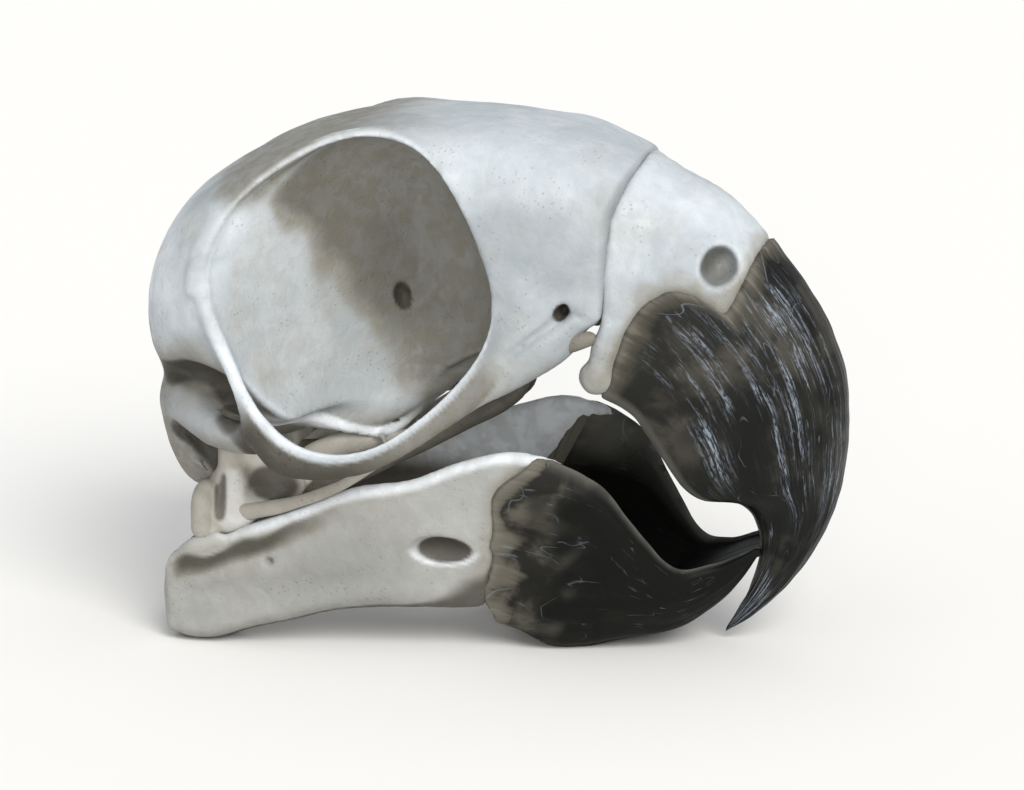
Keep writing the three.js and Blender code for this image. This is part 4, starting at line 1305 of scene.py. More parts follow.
@dataclass
class UpperBill:
    """The bone of the upper bill with the nostrils, and the horn over it."""

    pitch: float = 0.34
    hinge_gap: float = -0.12
    dip: float = 0.55  # how far the bone sinks under the horn
    lip: float = 0.12  # how far the horn's border stands over the bone
    nostril: Point = (26.4, 8.3, 45.4)
    nostril_size: Point = (2.05, 3.4, 2.3)
    # painted highlight strips on the horn: place across the horn, half width, and where each begins and ends
    # along it in mm
    highlight_bands: tuple[tuple[float, float, float, float], ...] = (
        (0.07, 0.022, 2.0, 24.0), (0.13, 0.016, 3.0, 20.0), (0.19, 0.018, 1.5, 34.0),
        (0.245, 0.026, 0.5, 28.0), (0.30, 0.03, 0.5, 22.0), (0.345, 0.03, 0.5, 34.0),
        (0.40, 0.018, 4.0, 56.0), (0.475, 0.014, 14.0, 48.0),
    )
    root: float = 5.0  # how far the bone reaches in under the horn
    root_point: Point = (19.0, 0.0, 37.0)  # where the horn's root closes, deep in the bill
    map_width: float = 26.0  # mm across the outer face on the horn's own map
    form: BillForm = field(default_factory=BillForm)

    def bone_clay(self) -> Clay:
        """The bone in clay, sunk where the horn covers it and cut off deep inside the horn."""
        clay = Clay((9.6, 0.0, 22.0), (37.0, 13.8, 59.5), self.pitch)
        x, z = clay.x[:, 0], clay.z[:, 0]
        t, rise = self.form.locate(x + 0 * z, z + 0 * x)
        _, _, height, half, palate = self.form.ring(t)
        share = np.maximum(rise / height, 0)[:, None]
        across = clay.side / half[:, None]
        size = np.sqrt(across**2 + share ** (2 / self.form.bulge))
        shell = clay.evened((size - 1) * 12)
        roof = (palate[:, None] + self.dip) * np.maximum(0, 1 - (across / 0.86) ** 2)
        solid = soft_max(shell, roof - rise[:, None], 0.4)
        inside_horn = self.form.horn_depth(x, z)[:, None]
        solid = solid + self.dip * ease(inside_horn, -0.5, 0.7)
        clay.add(soft_max(solid, inside_horn - self.root, 0.5), 0.1)
        clay.rod([(14.6, 11.9, 38.6), (13.9, 11.8, 36.2), (13.5, 11.5, 34.0)], [0.6, 0.9, 1.0], 0.8)
        clay.cut(clay.x - line_through(self.form.hinge, clay.z) - self.hinge_gap + 0 * clay.values, 0.8)
        clay.ball((12.4, 0.0, 34.0), (3.6, 7.6, 4.6), 0.0, joint=1.2, cut=True)
        clay.ball(self.nostril, self.nostril_size, 0.2, joint=0.45, cut=True)
        clay.ball((13.3, 11.3, 32.8), (2.0, 1.45, 1.75), 0.1, joint=0.9)
        return clay

    def build_bone(self, finishes: Finishes) -> None:
        """Models and finishes the bone."""
        clay = self.bone_clay()
        surface = clay.skin().relaxed(2)
        x, side, z = surface.places()
        wide = clay.sampled(clay.crowding(1.6), surface.points)
        place = np.stack([x, side, z], -1)
        inside_horn = self.form.horn_depth(x, z)
        nostril = in_ball(place, self.nostril, self.nostril_size, 0.2)
        blots = ripples(place, 3.0, 13)
        # brown under the horn's border, towards the bottom and in crowded places
        stain = 0.9 * ease(inside_horn + 0.7 * blots, -2.6, 0.2) + 0.8 * ease(-z, -40, -33)
        stain = stain + 0.5 * ease(wide, 0.55, 0.65)
        # painted shade in the nostrils, in crowded places and towards the bottom; painted highlights round
        # the nostrils and painted light over the top
        deep = fall(nostril, 0.98, 1.1) * (side > 3) * (0.72 + 0.28 * ease(-x + z, 18.5, 20.5))
        shades = [0.8 * deep, 0.75 * ease(wide, 0.62, 0.87), 0.22 * ease(-z, -46, -42)]
        edge = fall(np.abs(nostril - 1.2), 0.0, 0.1) * (side > 5)
        surface.marks = {
            Mark.PAINTED_SHADE: np.clip(np.max(shades, axis=0), 0, 0.85),
            Mark.WEAR_AND_PAINTED_LIGHT: np.maximum(0.2 * edge, 0.18 * ease(z, 46, 50)) * (1 - deep),
            Mark.STAIN_AND_PAINTED_SHADE: np.clip(stain, 0, 1),
        }
        strokes = ripples(surface.points * np.array([1.0, 0.6, 0.25]), 1.3, 11)
        surface.raised(0.03 * strokes + 0.04 * ripples(surface.points, 5.0, 12))
        placed("upper_bill_bone_shell", surface, finishes.bone, "upper_bill_bone")

    def starts(self, points: Array) -> Array:
        """The number of the first ring, as a fraction, where each line of points is inside the horn.

        Args:
            points: Points in the order (step along the bill, line, coordinate).

        Returns:
            One fractional step number for each line.
        """
        x, z = points[..., 0], points[..., 2]
        behind_hinge = line_through(self.form.hinge, z) + self.hinge_gap - x
        over_border = z - line_through(self.form.border, x)
        outside = np.maximum(behind_hinge, over_border)
        first = np.argmax(outside <= 0, axis=0)
        first = np.clip(first, 1, len(points) - 1)
        before = np.take_along_axis(outside, first[None] - 1, 0)[0]
        after = np.take_along_axis(outside, first[None], 0)[0]
        return first - 1 + np.clip(before / np.maximum(before - after, 1e-6), 0, 1)

    def horn_grid(self, rings: int = 190, over: int = 200, under: int = 64) -> tuple[Array, Array, Array]:
        """The horn's outer face and palate as one grid of closed rings.

        The rings start at the horn's border, which differs from line to line, and close up to the
        tip; t = start + (1 - start) * u.

        Args:
            rings: How many rings there are along the horn.
            over: Points of each ring over the outer face.
            under: Points of each ring under the palate.

        Returns:
            The grid, the share u of each ring, and the place of each line across the horn.
        """
        fine = np.linspace(0, 1, 900)
        s_over = np.linspace(0, 1, over)
        s_over = s_over + 0.12 * np.sin(2 * np.pi * s_over) / (2 * np.pi)
        s_under = np.linspace(0, 1, under + 2)[1:-1]
        probe = self.ring_points(fine[:, None] + np.zeros(over + under), s_over, s_under)
        start = self.starts(probe) / (len(fine) - 1)
        lines = np.arange(over + under)[:, None] * 1.0
        fray = 0.0014 * ripples(lines, 14.0, 21) + 0.0006 * ripples(lines, 6.0, 22)
        start = start + np.where(lines[:, 0] < over, np.abs(fray), 0)
        u = np.concatenate([[0, 0.0015, 0.004, 0.008, 0.013], np.linspace(0.02, 1, rings - 5)])
        t = start + (1 - start) * u[:, None]
        across = np.concatenate([s_over, 1.2 + s_under])
        return self.ring_points(t, s_over, s_under), u, across

    def ring_points(self, t: Array, s_over: Array, s_under: Array) -> Array:
        """Points of closed rings: over the outer face at s_over, and back under the palate at s_under."""
        over, under = t[:, : len(s_over)], t[:, len(s_over) :]
        outer = self.form.outside(over, s_over + 0 * over)
        return np.concatenate([outer, self.form.palate(under, s_under + 0 * under)], axis=1)

    def build_horn(self, finishes: Finishes) -> None:
        """Shapes and finishes the horn, with its fibres, its lip at the border and its closed root."""
        over = 200
        grid, u, across = self.horn_grid(over=over)
        normal = grid_normals(grid)
        if normal[len(u) // 2, over // 2, 0] < 0:
            normal = -normal
        run = along_lines(grid)
        outer = (np.arange(grid.shape[1]) < over).astype(float)
        rise = self.lip * fall(run, 0.4, 3.0) - 0.75 * fall(run, 0.0, 0.55)
        width = self.map_width * across + 0 * run
        fibres = ripples(np.stack([0.03 * run, width], -1), 1.1, 31)
        fibres = fibres + 0.7 * ripples(np.stack([0.05 * run, width], -1), 2.9, 32)
        rings = ripples(np.stack([run, 0.1 * width], -1), 4.0, 33)
        fade = ease(1 - u[:, None], 0.0, 0.12)
        rise = rise + outer * fade * (0.05 * fibres + 0.035 * rings)
        edge = np.minimum(np.abs(across), np.abs(across - 1)) + 0 * run
        edge_mark = fall(edge, 0.001, 0.011) * outer * fade
        grid = grid + normal * rise[..., None]
        fray = fall(run, 0.0, 5.0 + 1.5 * ripples(width[..., None], 5.0, 34)) * outer
        fold = np.minimum(across, 1 - across) + 0.012 * ripples(np.stack([run, 0 * run], -1), 22.0, 35)
        # painted highlights: pale strips along the horn and a patch near the tip
        painted_highlight = np.zeros_like(run)
        for place, spread, begin, end in self.highlight_bands:
            inside = ease(run, begin, begin + 4) * fall(run, end - 8, end)
            painted_highlight = np.maximum(painted_highlight, np.exp(-((fold - place) / spread) ** 2) * inside)
        near_tip = ease(u[:, None], 0.74, 0.82) * fall(u[:, None], 0.97, 0.995)
        painted_highlight = np.maximum(painted_highlight, 2.2 * near_tip * np.exp(-((fold - 0.24) / 0.2) ** 2))
        lumps = ripples(grid.reshape(-1, 3), 6.0, 36).reshape(run.shape)
        brown = fall(run + 2.5 * lumps, 8, 19) * outer
        growth = np.stack([run, width, 0 * run], -1)
        marks = {
            Mark.FRAY: fray,
            Mark.STAIN_AND_PAINTED_SHADE: brown * (0.25 + 0.75 * fall(fold, 0.26, 0.4)),
            Mark.WEAR_AND_PAINTED_LIGHT: 0.8 * edge_mark,
            # painted shade under the palate
            Mark.PAINTED_SHADE: 0.5 * (1 - outer) + 0 * run,
            Mark.PAINTED_HIGHLIGHT: painted_highlight * outer,
            Mark.GROWTH: growth,
        }
        root = self.root_rings(grid[0])
        grid = np.concatenate([root, grid])
        marks = {m: np.concatenate([np.repeat(v[:1], len(root), 0), v]) for m, v in marks.items()}
        surface = turned_out(closed_grid(grid, marks))
        placed("upper_bill_horn_sheath", surface, finishes.bill_horn, "upper_bill_horn")

    def root_rings(self, first: Array, steps: int = 3) -> Array:
        """Rings that close the horn's root inside the bone, shrinking to a point deep in the bill."""
        deep = np.array(self.root_point)
        shares = np.linspace(0.7, 0.12, steps)[:, None, None]
        return deep + (first - deep) * shares[::-1]

    def build(self, finishes: Finishes) -> None:
        """Builds the bone and the horn."""
        self.build_bone(finishes)
        self.build_horn(finishes)


# ---------------------------------------------------------------- lower jaw


@dataclass
class LowerJaw:
    """The bone of the lower jaw, its two branches joined in front, and the horn over its front."""

    pitch: float = 0.36
    dip: float = 0.5
    lip: float = 0.12
    rim_radius: float = 0.78
    window: Point = (-3.3, 15.4, 12.3)
    window_size: Point = (4.3, 2.45, 2.1)
    window_edge: tuple[float, float, float, float] = (-3.3, 12.5, 3.35, 1.65)  # x, z and half axes
    front: float = 30.2  # x of the horn's front edge
    map_width: float = 80.0  # mm round a ring on the horn's own map
    form: JawForm = field(default_factory=JawForm)

    def bone_clay(self) -> Clay:
        """The bone in clay: an upright wall with a rounded rim, hollow between its branches."""
        clay = Clay((-37.8, 0.0, -0.72), (13.5, 17.2, 25.2), self.pitch)
        x = clay.x[:, 0]
        top, under, half, _ = self.form.outline(x)
        share = (clay.z[:, 0] - under) / (top - under)
        width = self.form.width(x + 0 * share, share)
        thin = 0.4 * ease(share, 0.55, 0.8) * fall(share, 0.82, 0.97)
        wall = clay.side - (width - thin)[:, None]
        top, under, half = (v[:, None] for v in (top, under, half))
        solid = soft_max(wall, clay.z - top, 0.7)
        solid = soft_max(solid, under - clay.z, 0.9)
        corner = np.hypot(np.maximum(0, -32.6 - clay.x), np.maximum(0, clay.z - 7.9)) - 4.3
        corner = corner - 30 * ease(clay.x, -32.8, -31.5)
        solid = soft_max(soft_max(solid, -36.9 - clay.x, 2.4), corner, 0.8)
        floor, inner = (v[:, None] for v in self.form.space(x))
        inner = inner + 0.8 * ease(share[:, None], 0.3, 0.85) * ease(clay.x, -33, -22)
        space = soft_max(clay.side - inner, floor - clay.z, 2.0)
        mid = 0.5 * (half + inner)
        outer_line = line_through(self.form.outer_border, clay.z)
        inner_line = line_through(self.form.inner_border, clay.z)
        inside_horn = clay.x - np.where(clay.side > mid, outer_line, inner_line)
        clay.add(solid, 0.1)
        clay.cut(space, 0.8)
        inset = self.rim_radius
        rim = np.hypot(clay.side - (half - inset), clay.z - (top - inset)) - inset
        clay.add(soft_max(rim, -33.5 - clay.x, 1.5), 0.5)
        clay.values = (clay.values + self.dip * ease(inside_horn, -0.2, 0.9)).astype(np.float32)
        clay.cut(11.5 - clay.x + 0 * clay.values, 0.4)
        clay.cut(clay.z + 0 * clay.values, 0.35)
        self.details(clay)
        return clay

    def details(self, clay: Clay) -> None:
        """The window, closed inside by thin bone that is coloured as painted shade, the nerve opening, the
        joint's cup and its corners.
        """
        clay.ball(self.window, self.window_size, 0.06, joint=0.35, cut=True)
        clay.ball((-23.4, 16.2, 10.2), (0.6, 1.5, 0.5), 0.0, joint=0.25, cut=True)
        clay.ball((-30.2, 13.4, 14.6), (3.4, 2.6, 2.9), 0.0, joint=0.9, cut=True)
        clay.rod([(-34.4, 15.0, 9.4), (-32.4, 15.6, 11.4), (-29.6, 15.9, 12.8)], [0.6, 0.8, 0.6], 0.8)
        clay.rod([(-35.2, 11.4, 5.0), (-34.6, 10.8, 7.8), (-33.0, 10.6, 10.8)], [0.9, 1.1, 0.8], 1.0)
        clay.rod([(-33.0, 16.6, 5.6), (-24.0, 16.9, 6.6), (-12.0, 16.4, 8.4)], [0.7, 0.9, 0.5], 2.2, cut=True)

    def bone_marks(self, clay: Clay, surface: Surface) -> dict[Mark, Array]:
        """Where painted shade darkens the jaw's bone, painted light pales it, and stains and painted shade
        brown it, from 0 to 1 for the surface's points.
        """
        x, side, z = surface.places()
        top, under, half, _ = self.form.outline(x)
        wide = clay.sampled(clay.crowding(1.7), surface.points)
        # painted highlights along the top rim and round the window
        rim = fall(np.hypot(side - (half - 0.5), z - (top - 0.35)), 0.5, 1.25)
        rim = rim * ease(x, -33, -22)
        middle_x, middle_z, long, short = self.window_edge
        window = np.sqrt(((x - middle_x) / long) ** 2 + ((z - middle_z) / short) ** 2)
        rim = np.maximum(rim, 0.75 * fall(np.abs(window - 1.1), 0.0, 0.2) * ease(12.5 - z, -0.4, 0.8))
        inner = ease(half - side, 0.95, 1.5)
        # painted shade inside the window, on the thin bone that closes it
        pit = fall(window, 0.86, 1.02) * ease(half - side, 0.12, 0.5)
        pit = pit * (0.86 + 0.14 * ease(z - self.window[2], -1, 1))
        inside_horn = x - line_through(self.form.outer_border, z)
        blots = ripples(surface.points, 5.0, 43)
        # browner on the inner faces, by the horn's border, high in front and low down
        stain = 0.32 + 0.4 * inner + 0.6 * ease(inside_horn, -2.2, 0.0) * (1 - inner)
        share = (z - under) / (top - under)
        stain = stain + 0.3 * ease(share, 0.45, 0.8) * fall(x, -12, 0)
        stain = stain + 0.25 * fall(share, 0.0, 0.25)
        # painted shade in a band below the rim at the rear
        below = top - z + 0.5 * blots
        patch = ease(below, 0.9, 1.6) * fall(below, 2.4, 4.6)
        patch = patch * ease(x, -35.5, -33.5) * fall(x, -24, -14) * (1 - inner)
        # painted shade along the horn's inner border
        seam = np.abs(x + 0.3 - line_through(self.form.inner_border, z))
        line = inner * fall(seam, 0.1, 0.5) * ease(z, 14, 17)
        # painted shade in crowded places, low in front and low on the inner faces
        crowded = 0.95 * ease(wide, 0.62, 0.86) * (1 - 0.95 * inner)
        high = ease(z, 13.5, 17.5)
        low = 0.24 * fall(x, -12, 4) * fall(share, 0.5, 0.9) * (1 - inner)
        shades = [crowded, 0.9 * patch, 0.85 * line, low, pit, 0.85 * inner * (1 - high)]
        # painted light: the rims, and the upper inner faces, which lie in shade, are painted pale
        pale = np.maximum(0.75 * rim * (1 - inner), 0.95 * inner * high * ease(x, -25, -12))
        return {
            Mark.PAINTED_SHADE: np.clip(np.max(shades, axis=0), 0, 1),
            Mark.WEAR_AND_PAINTED_LIGHT: np.clip(pale, 0, 1),
            Mark.STAIN_AND_PAINTED_SHADE: np.clip(stain + patch, 0, 1),
        }

    def build_bone(self, finishes: Finishes) -> None:
        """Models and finishes the bone."""
        clay = self.bone_clay()
        surface = clay.skin().relaxed(2)
        surface.marks = self.bone_marks(clay, surface)
        calm = ease(surface.points[:, 2], 0.3, 2.0) * (1 - surface.marks[Mark.WEAR_AND_PAINTED_LIGHT])
        broad, fine = ripples(surface.points, 6.0, 41), ripples(surface.points, 2.2, 42)
        surface.raised(calm * (0.06 * broad + 0.02 * fine))
        placed("lower_jaw_bone_shell", surface, finishes.jaw_bone, "lower_jaw_bone")

    def horn_ring(self, x: Array, v: Array) -> Array:
        """Points of the horn's rings at x.

        v runs once round: over the outside from the right rim (0) under the chin (0.25) to the
        left rim (0.5), and back through the hollow (0.75).

        Args:
            x: The place along the jaw, in mm.
            v: The place round the ring, of the same shape.

        Returns:
            The points, with coordinates on a last axis.
        """
        top, under, half, _ = self.form.outline(x)
        floor, inner = self.form.space(x)
        inner = np.minimum(inner + 0.5, half - 1.2)
        floor = np.maximum(floor, under + 1.0)
        outside = v < 0.5
        turn = np.where(outside, v / 0.5, (v - 0.5) / 0.5)
        hand = np.where(turn < 0.5, -1.0, 1.0) * np.where(outside, 1, -1)
        from_rim = 1 - np.abs(2 * turn - 1)
        down = ease(from_rim, 0.0, 0.72)
        share = 1 - down
        to_middle = np.clip((from_rim - 0.62) / 0.38, 0, 1)
        low_width = self.form.width(x, share)
        side_out = low_width * (1 - to_middle) ** 0.8
        z_out = under + (top - under) * share
        swing = 0.5 * np.pi * from_rim
        side_in = inner * np.cos(swing) ** 0.55
        deep = np.maximum(top - 0.25 - floor, 0.25)
        z_in = top - 0.25 - deep * np.sin(swing) ** 0.55
        side = np.where(outside, side_out, side_in)
        z = np.where(outside, z_out, z_in)
        return np.stack([x + 0 * v, hand * side, np.maximum(z, 0.0)], -1)

    def build_horn(self, finishes: Finishes, rings: int = 150, count: int = 260) -> None:
        """Shapes and finishes the horn, from its border to its scooped front edge."""
        v = (np.arange(count) + 0.5) / count
        fine = np.linspace(-1.0, self.front, 500)
        probe = self.horn_ring(fine[:, None] + 0 * v, v + 0 * fine[:, None])
        outer = ease(0.25 - np.abs(v - 0.25), -0.012, 0.012)
        border = outer * line_through(self.form.outer_border, probe[..., 2])
        border = border + (1 - outer) * line_through(self.form.inner_border, probe[..., 2])
        start = fine[np.argmax(probe[..., 0] > border, axis=0)]
        lines = np.arange(count)[:, None] * 1.0
        start = start + 0.3 * ripples(lines, 12.0, 51) + 0.12 * ripples(lines, 4.0, 52)
        u = np.concatenate([[0, 0.004, 0.009, 0.015, 0.023], np.linspace(0.035, 1, rings - 5)])
        x = start + (self.front - start) * u[:, None]
        grid = self.horn_ring(x, v + 0 * x)
        normal = grid_normals(grid)
        middle = int(0.25 * count)
        if normal[len(u) // 2, middle, 2] > 0:
            normal = -normal
        run = along_lines(grid)
        rise = self.lip * fall(run, 0.4, 2.6) - 0.7 * fall(run, 0.0, 0.5)
        width = self.map_width * v + 0 * run
        fibres = ripples(np.stack([0.06 * run, width], -1), 1.6, 53)
        lumps = ripples(grid.reshape(-1, 3), 5.0, 54).reshape(run.shape)
        fade = ease(1 - u[:, None], 0.0, 0.1) * ease(grid[..., 2], 0.2, 1.2)
        grid = grid + normal * (rise + fade * (0.025 * fibres + 0.06 * lumps))[..., None]
        grid[..., 2] = np.maximum(grid[..., 2], 0.0)
        from_rim = np.minimum(np.minimum(v, 1 - v), np.abs(v - 0.5)) + 0 * run
        marks = {
            Mark.FRAY: fall(run, 0.2, 4.5 + 1.8 * lumps) * (0.7 + 0.3 * outer),
            Mark.STAIN_AND_PAINTED_SHADE: fall(run + 1.6 * lumps, 3.0, 10.0) * (0.55 + 0.45 * outer),
            Mark.WEAR_AND_PAINTED_LIGHT: 0.8 * fall(from_rim, 0.006, 0.03) * ease(u[:, None] + 0 * run, 0.02, 0.1),
            # painted shade on the horn's inner side, deeper in
            Mark.PAINTED_SHADE: 0.75 * (1 - outer) * ease(run, 4, 10),
            Mark.PAINTED_HIGHLIGHT: 0 * run,
            Mark.GROWTH: np.stack([run, width, 0 * run], -1),
        }
        grid, marks = self.closed_ends(grid, marks)
        surface = turned_out(closed_grid(grid, marks))
        placed("lower_jaw_horn_sheath", surface, finishes.jaw_horn, "lower_jaw_horn")

    @staticmethod
    def closed_ends(grid: Array, marks: dict[Mark, Array]) -> tuple[Array, dict[Mark, Array]]:
        """Adds rings that close the root inside the bone and round the front edge.

        Args:
            grid: The horn's rings.
            marks: Their marks.

        Returns:
            The longer grid and its marks.
        """
        core = 0.5 * (grid + grid[:, ::-1])
        root = core[0] + (grid[0] - core[0]) * np.array([0.15, 0.6])[:, None, None]
        shares = np.array([0.85, 0.5, 0.05])[:, None, None]
        steps = np.array([0.25, 0.45, 0.5])[:, None, None] * np.array([1.0, 0.0, 0.0])
        front = core[-1] + (grid[-1] - core[-1]) * shares + steps
        whole = np.concatenate([root, grid, front])
        longer = {
            m: np.concatenate([np.repeat(v[:1], 2, 0), v, np.repeat(v[-1:], 3, 0)]) for m, v in marks.items()
        }
        return whole, longer

    def build(self, finishes: Finishes) -> None:
        """Builds the bone and the horn."""
        self.build_bone(finishes)
        self.build_horn(finishes)


# ---------------------------------------------------------------- small bones


@dataclass(frozen=True)
class ThinBone:
    """A thin bone along a smooth line, with its half widths across and upwards at each point.

    The share of painted shade on it goes from the first value of dark at the rear to the second in front.
    """

    name: str
    path: Line
    girths: Pairs
    brown: float = 0.5
    dark: tuple[float, float] = (0.0, 0.0)
    stations: int = 90
    sides: int = 24

    def surface(self) -> Surface:
        """The bone as a tube of oval section with rounded ends and slight relief.

        At each station of the line the section is across * cos(a) sideways and up * sin(a)
        along the line's own upward direction, both shrunk by a round end profile.
        """
        keys = np.linspace(0, 1, len(self.path))
        stations = np.linspace(0, 1, self.stations)
        stations = 0.5 - 0.5 * np.cos(np.pi * stations)
        line = through(keys, np.array(self.path), stations)
        girth = through(keys, np.array(self.girths), stations)
        along = np.gradient(line, axis=0)
        along /= np.linalg.norm(along, axis=1, keepdims=True)
        side = np.array([0.0, 1.0, 0.0]) - along * along[:, 1:2]
        side /= np.linalg.norm(side, axis=1, keepdims=True)
        rise = np.cross(along, side)
        length = np.concatenate([[0], np.cumsum(np.linalg.norm(np.diff(line, axis=0), axis=1))])
        to_end = np.minimum(length, length[-1] - length)
        tip = np.sqrt(np.clip(1 - (1 - np.clip(to_end / 0.9, 0, 1)) ** 2, 0.0, 1))
        girth = girth * np.maximum(tip, 0.04)[:, None]
        angle = np.linspace(0, 2 * np.pi, self.sides, endpoint=False)
        grid = (
            line[:, None]
            + side[:, None] * (girth[:, :1] * np.cos(angle))[..., None]
            + rise[:, None] * (girth[:, 1:] * np.sin(angle))[..., None]
        )
        bumps = ripples(grid.reshape(-1, 3), 2.6, len(self.path) + self.sides).reshape(grid.shape[:2])
        normal = grid_normals(grid)
        outwards = np.sign(np.sum(normal * (grid - line[:, None]), -1, keepdims=True))
        grid = grid + normal * (0.05 * bumps * tip[:, None])[..., None] * outwards
        stain = self.brown + 0 * bumps
        # painted shade, moving from the rear share to the front share
        shade = self.dark[0] + (self.dark[1] - self.dark[0]) * ease(grid[..., 0], -6, 2)
        marks = {Mark.STAIN_AND_PAINTED_SHADE: stain, Mark.PAINTED_SHADE: shade, Mark.WEAR_AND_PAINTED_LIGHT: 0 * bumps}
        return turned_out(closed_grid(grid, marks))


@dataclass
class SmallBones:
    """The thin bones between the jaws, each on the right and on the left."""

    thin: tuple[ThinBone, ...] = (
        ThinBone(
            "jugal_bar",
            ((13.5, -11.8, 37.5), (11.2, -11.9, 36.8), (8.6, -11.6, 35.6), (4.8, -11.6, 33.0),
             (-3.6, -14.0, 27.1), (-9.9, -14.8, 23.0), (-15.2, -15.1, 19.4), (-21.4, -15.3, 16.9),
             (-28.8, -14.2, 14.8)),
            ((0.6, 0.7), (0.8, 1.0), (0.8, 0.9), (0.5, 0.7), (0.45, 0.55), (0.45, 0.55), (0.45, 0.6),
             (0.55, 0.8), (0.8, 1.1)),
            brown=0.35,
            dark=(0.0, 0.5),
        ),
        ThinBone(
            "palatine",
            ((12.3, -2.6, 37.2), (8.0, -2.2, 37.2), (4.6, -1.9, 35.0), (3.0, -2.0, 31.0), (1.9, -2.1, 27.9),
             (-3.4, -3.2, 24.8), (-11.0, -4.8, 20.9), (-19.0, -6.2, 17.8), (-27.0, -7.2, 16.8)),
            ((0.7, 0.7), (0.7, 0.7), (0.6, 0.6), (0.7, 0.8), (0.7, 0.9), (0.7, 1.0), (0.6, 1.1),
             (0.6, 1.6), (0.5, 1.5)),
            brown=0.9,
            dark=(0.55, 0.7),
        ),
        ThinBone(
            "pterygoid",
            ((-9.8, -1.7, 22.2), (-17.0, -5.2, 21.8), (-23.0, -8.4, 19.2), (-28.2, -10.8, 15.8)),
            ((0.8, 0.8), (1.1, 1.5), (0.9, 1.2), (0.8, 0.8)),
            brown=0.2,
        ),
    )

    def quadrate(self) -> Surface:
        """The right quadrate: a body that stands on the jaw's joint, and a process towards the socket."""
        clay = Clay((-33.8, 7.02, 11.4), (-18.6, 17.6, 25.4), 0.26)
        clay.rod([(-30.8, 14.9, 17.9), (-31.2, 15.0, 16.6), (-31.0, 14.9, 13.6)], [1.2, 1.45, 1.75], 0.5)
        clay.rod([(-28.6, 12.9, 22.4), (-28.0, 13.3, 18.6), (-28.2, 13.6, 15.2)], [1.5, 1.6, 1.9], 0.9)
        clay.rod([(-30.5, 13.4, 16.8), (-29.6, 12.8, 19.2)], [1.3, 1.2], 0.8)
        clay.rod([(-31.0, 14.0, 14.1), (-28.0, 14.2, 14.4), (-25.8, 13.6, 15.4)], [1.4, 1.5, 1.1], 0.8)
        lower = [(-27.6, 13.4, 15.8), (-24.6, 12.4, 16.4), (-21.8, 11.4, 17.6), (-20.0, 10.8, 18.8)]
        clay.rod(lower, [1.3, 1.0, 0.8, 0.5], 0.9)
        upper = [(-28.6, 12.8, 20.8), (-26.0, 12.2, 21.4), (-22.6, 11.2, 21.3), (-20.4, 10.6, 20.4)]
        clay.rod(upper, [1.3, 1.0, 0.7, 0.4], 0.9)
        clay.ball((-24.4, 12.1, 18.8), (4.4, 0.7, 2.8), 0.1, joint=0.8)
        clay.rod([(-29.3, 15.6, 19.2), (-29.2, 16.2, 15.6)], [0.45, 0.4], 0.5, cut=True)
        surface = self.one_sided(clay)
        wide = ripples(surface.points, 3.0, 61)
        place = np.abs(surface.points) * np.array([-1, 1, 1])
        web = fall(in_ball(place, (-23.7, 12.4, 18.5), (3.0, 2.4, 2.1), 0.1), 0.85, 1.15)
        groove = fall(to_line(place, ((-29.2, 15.0, 19.4), (-29.1, 15.4, 15.2))), 0.5, 0.9)
        crest = ((-32.3, 15.2, 14.5), (-32.3, 15.2, 17.8), (-31.4, 15.4, 18.9), (-30.2, 15.4, 18.8))
        column = fall(to_line(place, crest), 0.3, 0.9)
        front = ((-28.0, 15.0, 19.0), (-27.6, 15.2, 14.6), (-25.0, 14.0, 15.4))
        post = fall(to_line(place, front), 1.0, 2.0)
        # painted shade in the web and the groove, less on the column's crest, and over the rear; painted
        # light on the front post
        hollow = np.maximum(0.88 * web, 0.75 * groove) * (1 - 0.9 * column)
        surface.marks = {
            Mark.STAIN_AND_PAINTED_SHADE: np.clip(0.16 + 0.3 * wide, 0, 1) * (1 - 0.6 * post),
            Mark.PAINTED_SHADE: np.maximum(hollow, 0.2 * (place[:, 0] < -30)),
            Mark.WEAR_AND_PAINTED_LIGHT: 0.3 * post * (1 - groove),
        }
        return surface.raised(0.06 * wide)

    @staticmethod
    def one_sided(clay: Clay) -> Surface:
        """The surface of a clay block that lies wholly on one side, moved to the right side."""
        block = Clay((clay.low[0], 0.0, clay.low[2]), clay.high, clay.pitch)
        offset = round(clay.low[1] / clay.pitch)
        wanted = block.values.shape[1] - offset
        block.values[:, offset:] = clay.values[:, :wanted]
        surface = block.skin().relaxed(1)
        keep = surface.points[surface.faces[0]][:, :, 1].max(1) < 0
        used, faces = np.unique(surface.faces[0][keep], return_inverse=True)
        return Surface(surface.points[used], [faces.reshape(-1, 4)])

    def build(self, finishes: Finishes) -> None:
        """Builds each bone for the right side and mirrors it for the left."""
        shapes = {bone.name: bone.surface() for bone in self.thin}
        shapes["quadrate"] = self.quadrate()
        for name, shape in shapes.items():
            for hand, surface in (("right", shape), ("left", shape.mirrored())):
                placed(f"{name}_{hand}_bone", surface, finishes.small_bone, f"{name}_{hand}")


# ---------------------------------------------------------------- studio


@dataclass(frozen=True)
class FarLight:
    """A soft light from far away, by the direction that it shines from."""

    name: str
    azimuth: float  # degrees from the camera's side, towards the bill
    elevation: float
    spread: float  # the angle that it is seen under, in degrees
    power: float
    colour: Colour


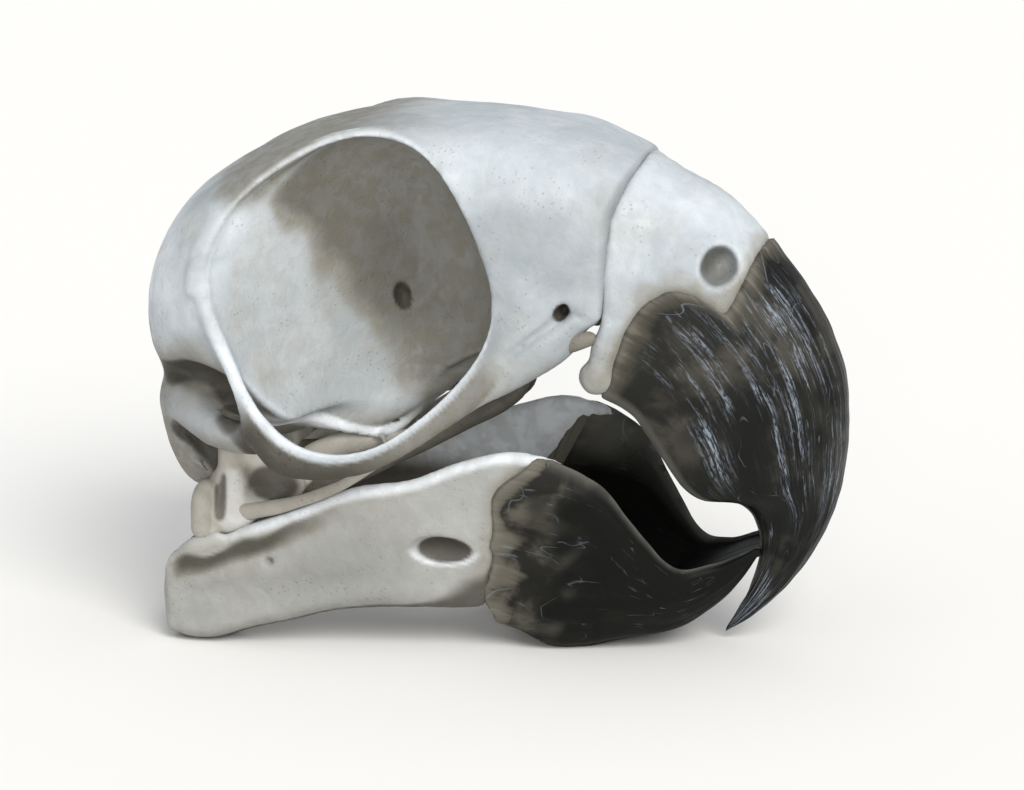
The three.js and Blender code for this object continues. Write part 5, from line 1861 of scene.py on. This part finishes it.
@dataclass
class Studio:
    """The floor, the lights and the camera."""

    target: Point = (1.0, 0.0, 27.235)
    azimuth: float = 14.0
    elevation: float = 14.3
    distance: float = 400.0
    focal_px: float = 3500.0
    width_px: float = 1024.0
    sensor: float = 36.0
    floor_size: float = 12.0
    floor_colour: Colour = (0.91, 0.895, 0.87)
    paper: Colour = (0.93, 0.915, 0.905)
    sky: Colour = (0.94, 0.97, 1.0)
    sky_strength: float = 0.63
    lights: tuple[FarLight, ...] = (
        FarLight("Key", 25.0, 40.0, 34.0, 2.3, (1.0, 0.985, 0.96)),
        FarLight("Fill", -3.0, 14.0, 20.0, 0.6, (1.0, 0.985, 0.96)),
    )

    @staticmethod
    def direction(azimuth: float, elevation: float) -> Vector:
        """The unit vector towards an azimuth, counted from -Y towards +X, and an elevation."""
        a, e = math.radians(azimuth), math.radians(elevation)
        return Vector((math.sin(a) * math.cos(e), -math.cos(a) * math.cos(e), math.sin(e)))

    def place_camera(self) -> None:
        """A long lens, aimed at the skull's middle from its right and a little above."""
        data = bpy.data.cameras.new("Camera")
        data.sensor_width = self.sensor
        data.lens = self.focal_px / self.width_px * self.sensor
        data.clip_start = 0.01
        data.clip_end = 50.0
        camera = in_scene("Camera", data)
        away = self.direction(self.azimuth, self.elevation)
        camera.location = Vector(self.target) * MM + away * self.distance * MM
        camera.rotation_euler = away.to_track_quat("Z", "Y").to_euler()
        bpy.context.scene.camera = camera

    def place_lights(self) -> None:
        """The lamps, aimed at the skull, and the even sky."""
        for light in self.lights:
            data = bpy.data.lights.new(light.name, "SUN")
            data.angle = math.radians(light.spread)
            data.energy = light.power
            data.color = light.colour
            lamp = in_scene(light.name, data)
            away = self.direction(self.azimuth + light.azimuth, light.elevation)
            lamp.location = Vector(self.target) * MM + away
            lamp.rotation_euler = away.to_track_quat("Z", "Y").to_euler()
        world = bpy.data.worlds.new("Sky")
        world.use_nodes = True
        w = Wiring(world.node_tree)
        background = world.node_tree.nodes["Background"]
        seen = w.node("ShaderNodeLightPath").outputs["Is Camera Ray"]
        sky = tuple(part * self.sky_strength for part in self.sky)
        w.feed(background.inputs["Color"], w.mix(seen, sky, self.paper))
        bpy.context.scene.world = world

    def place_floor(self) -> None:
        """A plain pale floor at the level that the jaw rests on."""
        half = self.floor_size / 2
        mesh = bpy.data.meshes.new("Floor")
        corners = [(-half, -half, 0), (half, -half, 0), (half, half, 0), (-half, half, 0)]
        mesh.from_pydata(corners, [], [(0, 1, 2, 3)])
        material, _, shader = fresh_material("Pale floor")
        shader.inputs["Base Color"].default_value = (*self.floor_colour, 1.0)
        shader.inputs["Roughness"].default_value = 0.9
        shader.inputs["Specular IOR Level"].default_value = 0.1
        mesh.materials.append(material)
        in_scene("Floor", mesh)

    def build(self) -> None:
        """Sets up the studio."""
        self.place_camera()
        self.place_lights()
        self.place_floor()
        bpy.context.scene.view_settings.view_transform = "Standard"


def main() -> None:
    """Builds the studio and every piece of the skull."""
    logging.basicConfig(level=logging.INFO, format="%(name)s: %(message)s")
    Studio().build()
    finishes = Finishes()
    for part in (Cranium(), UpperBill(), LowerJaw(), SmallBones()):
        part.build(finishes)


if __name__ == "__main__":
    main()
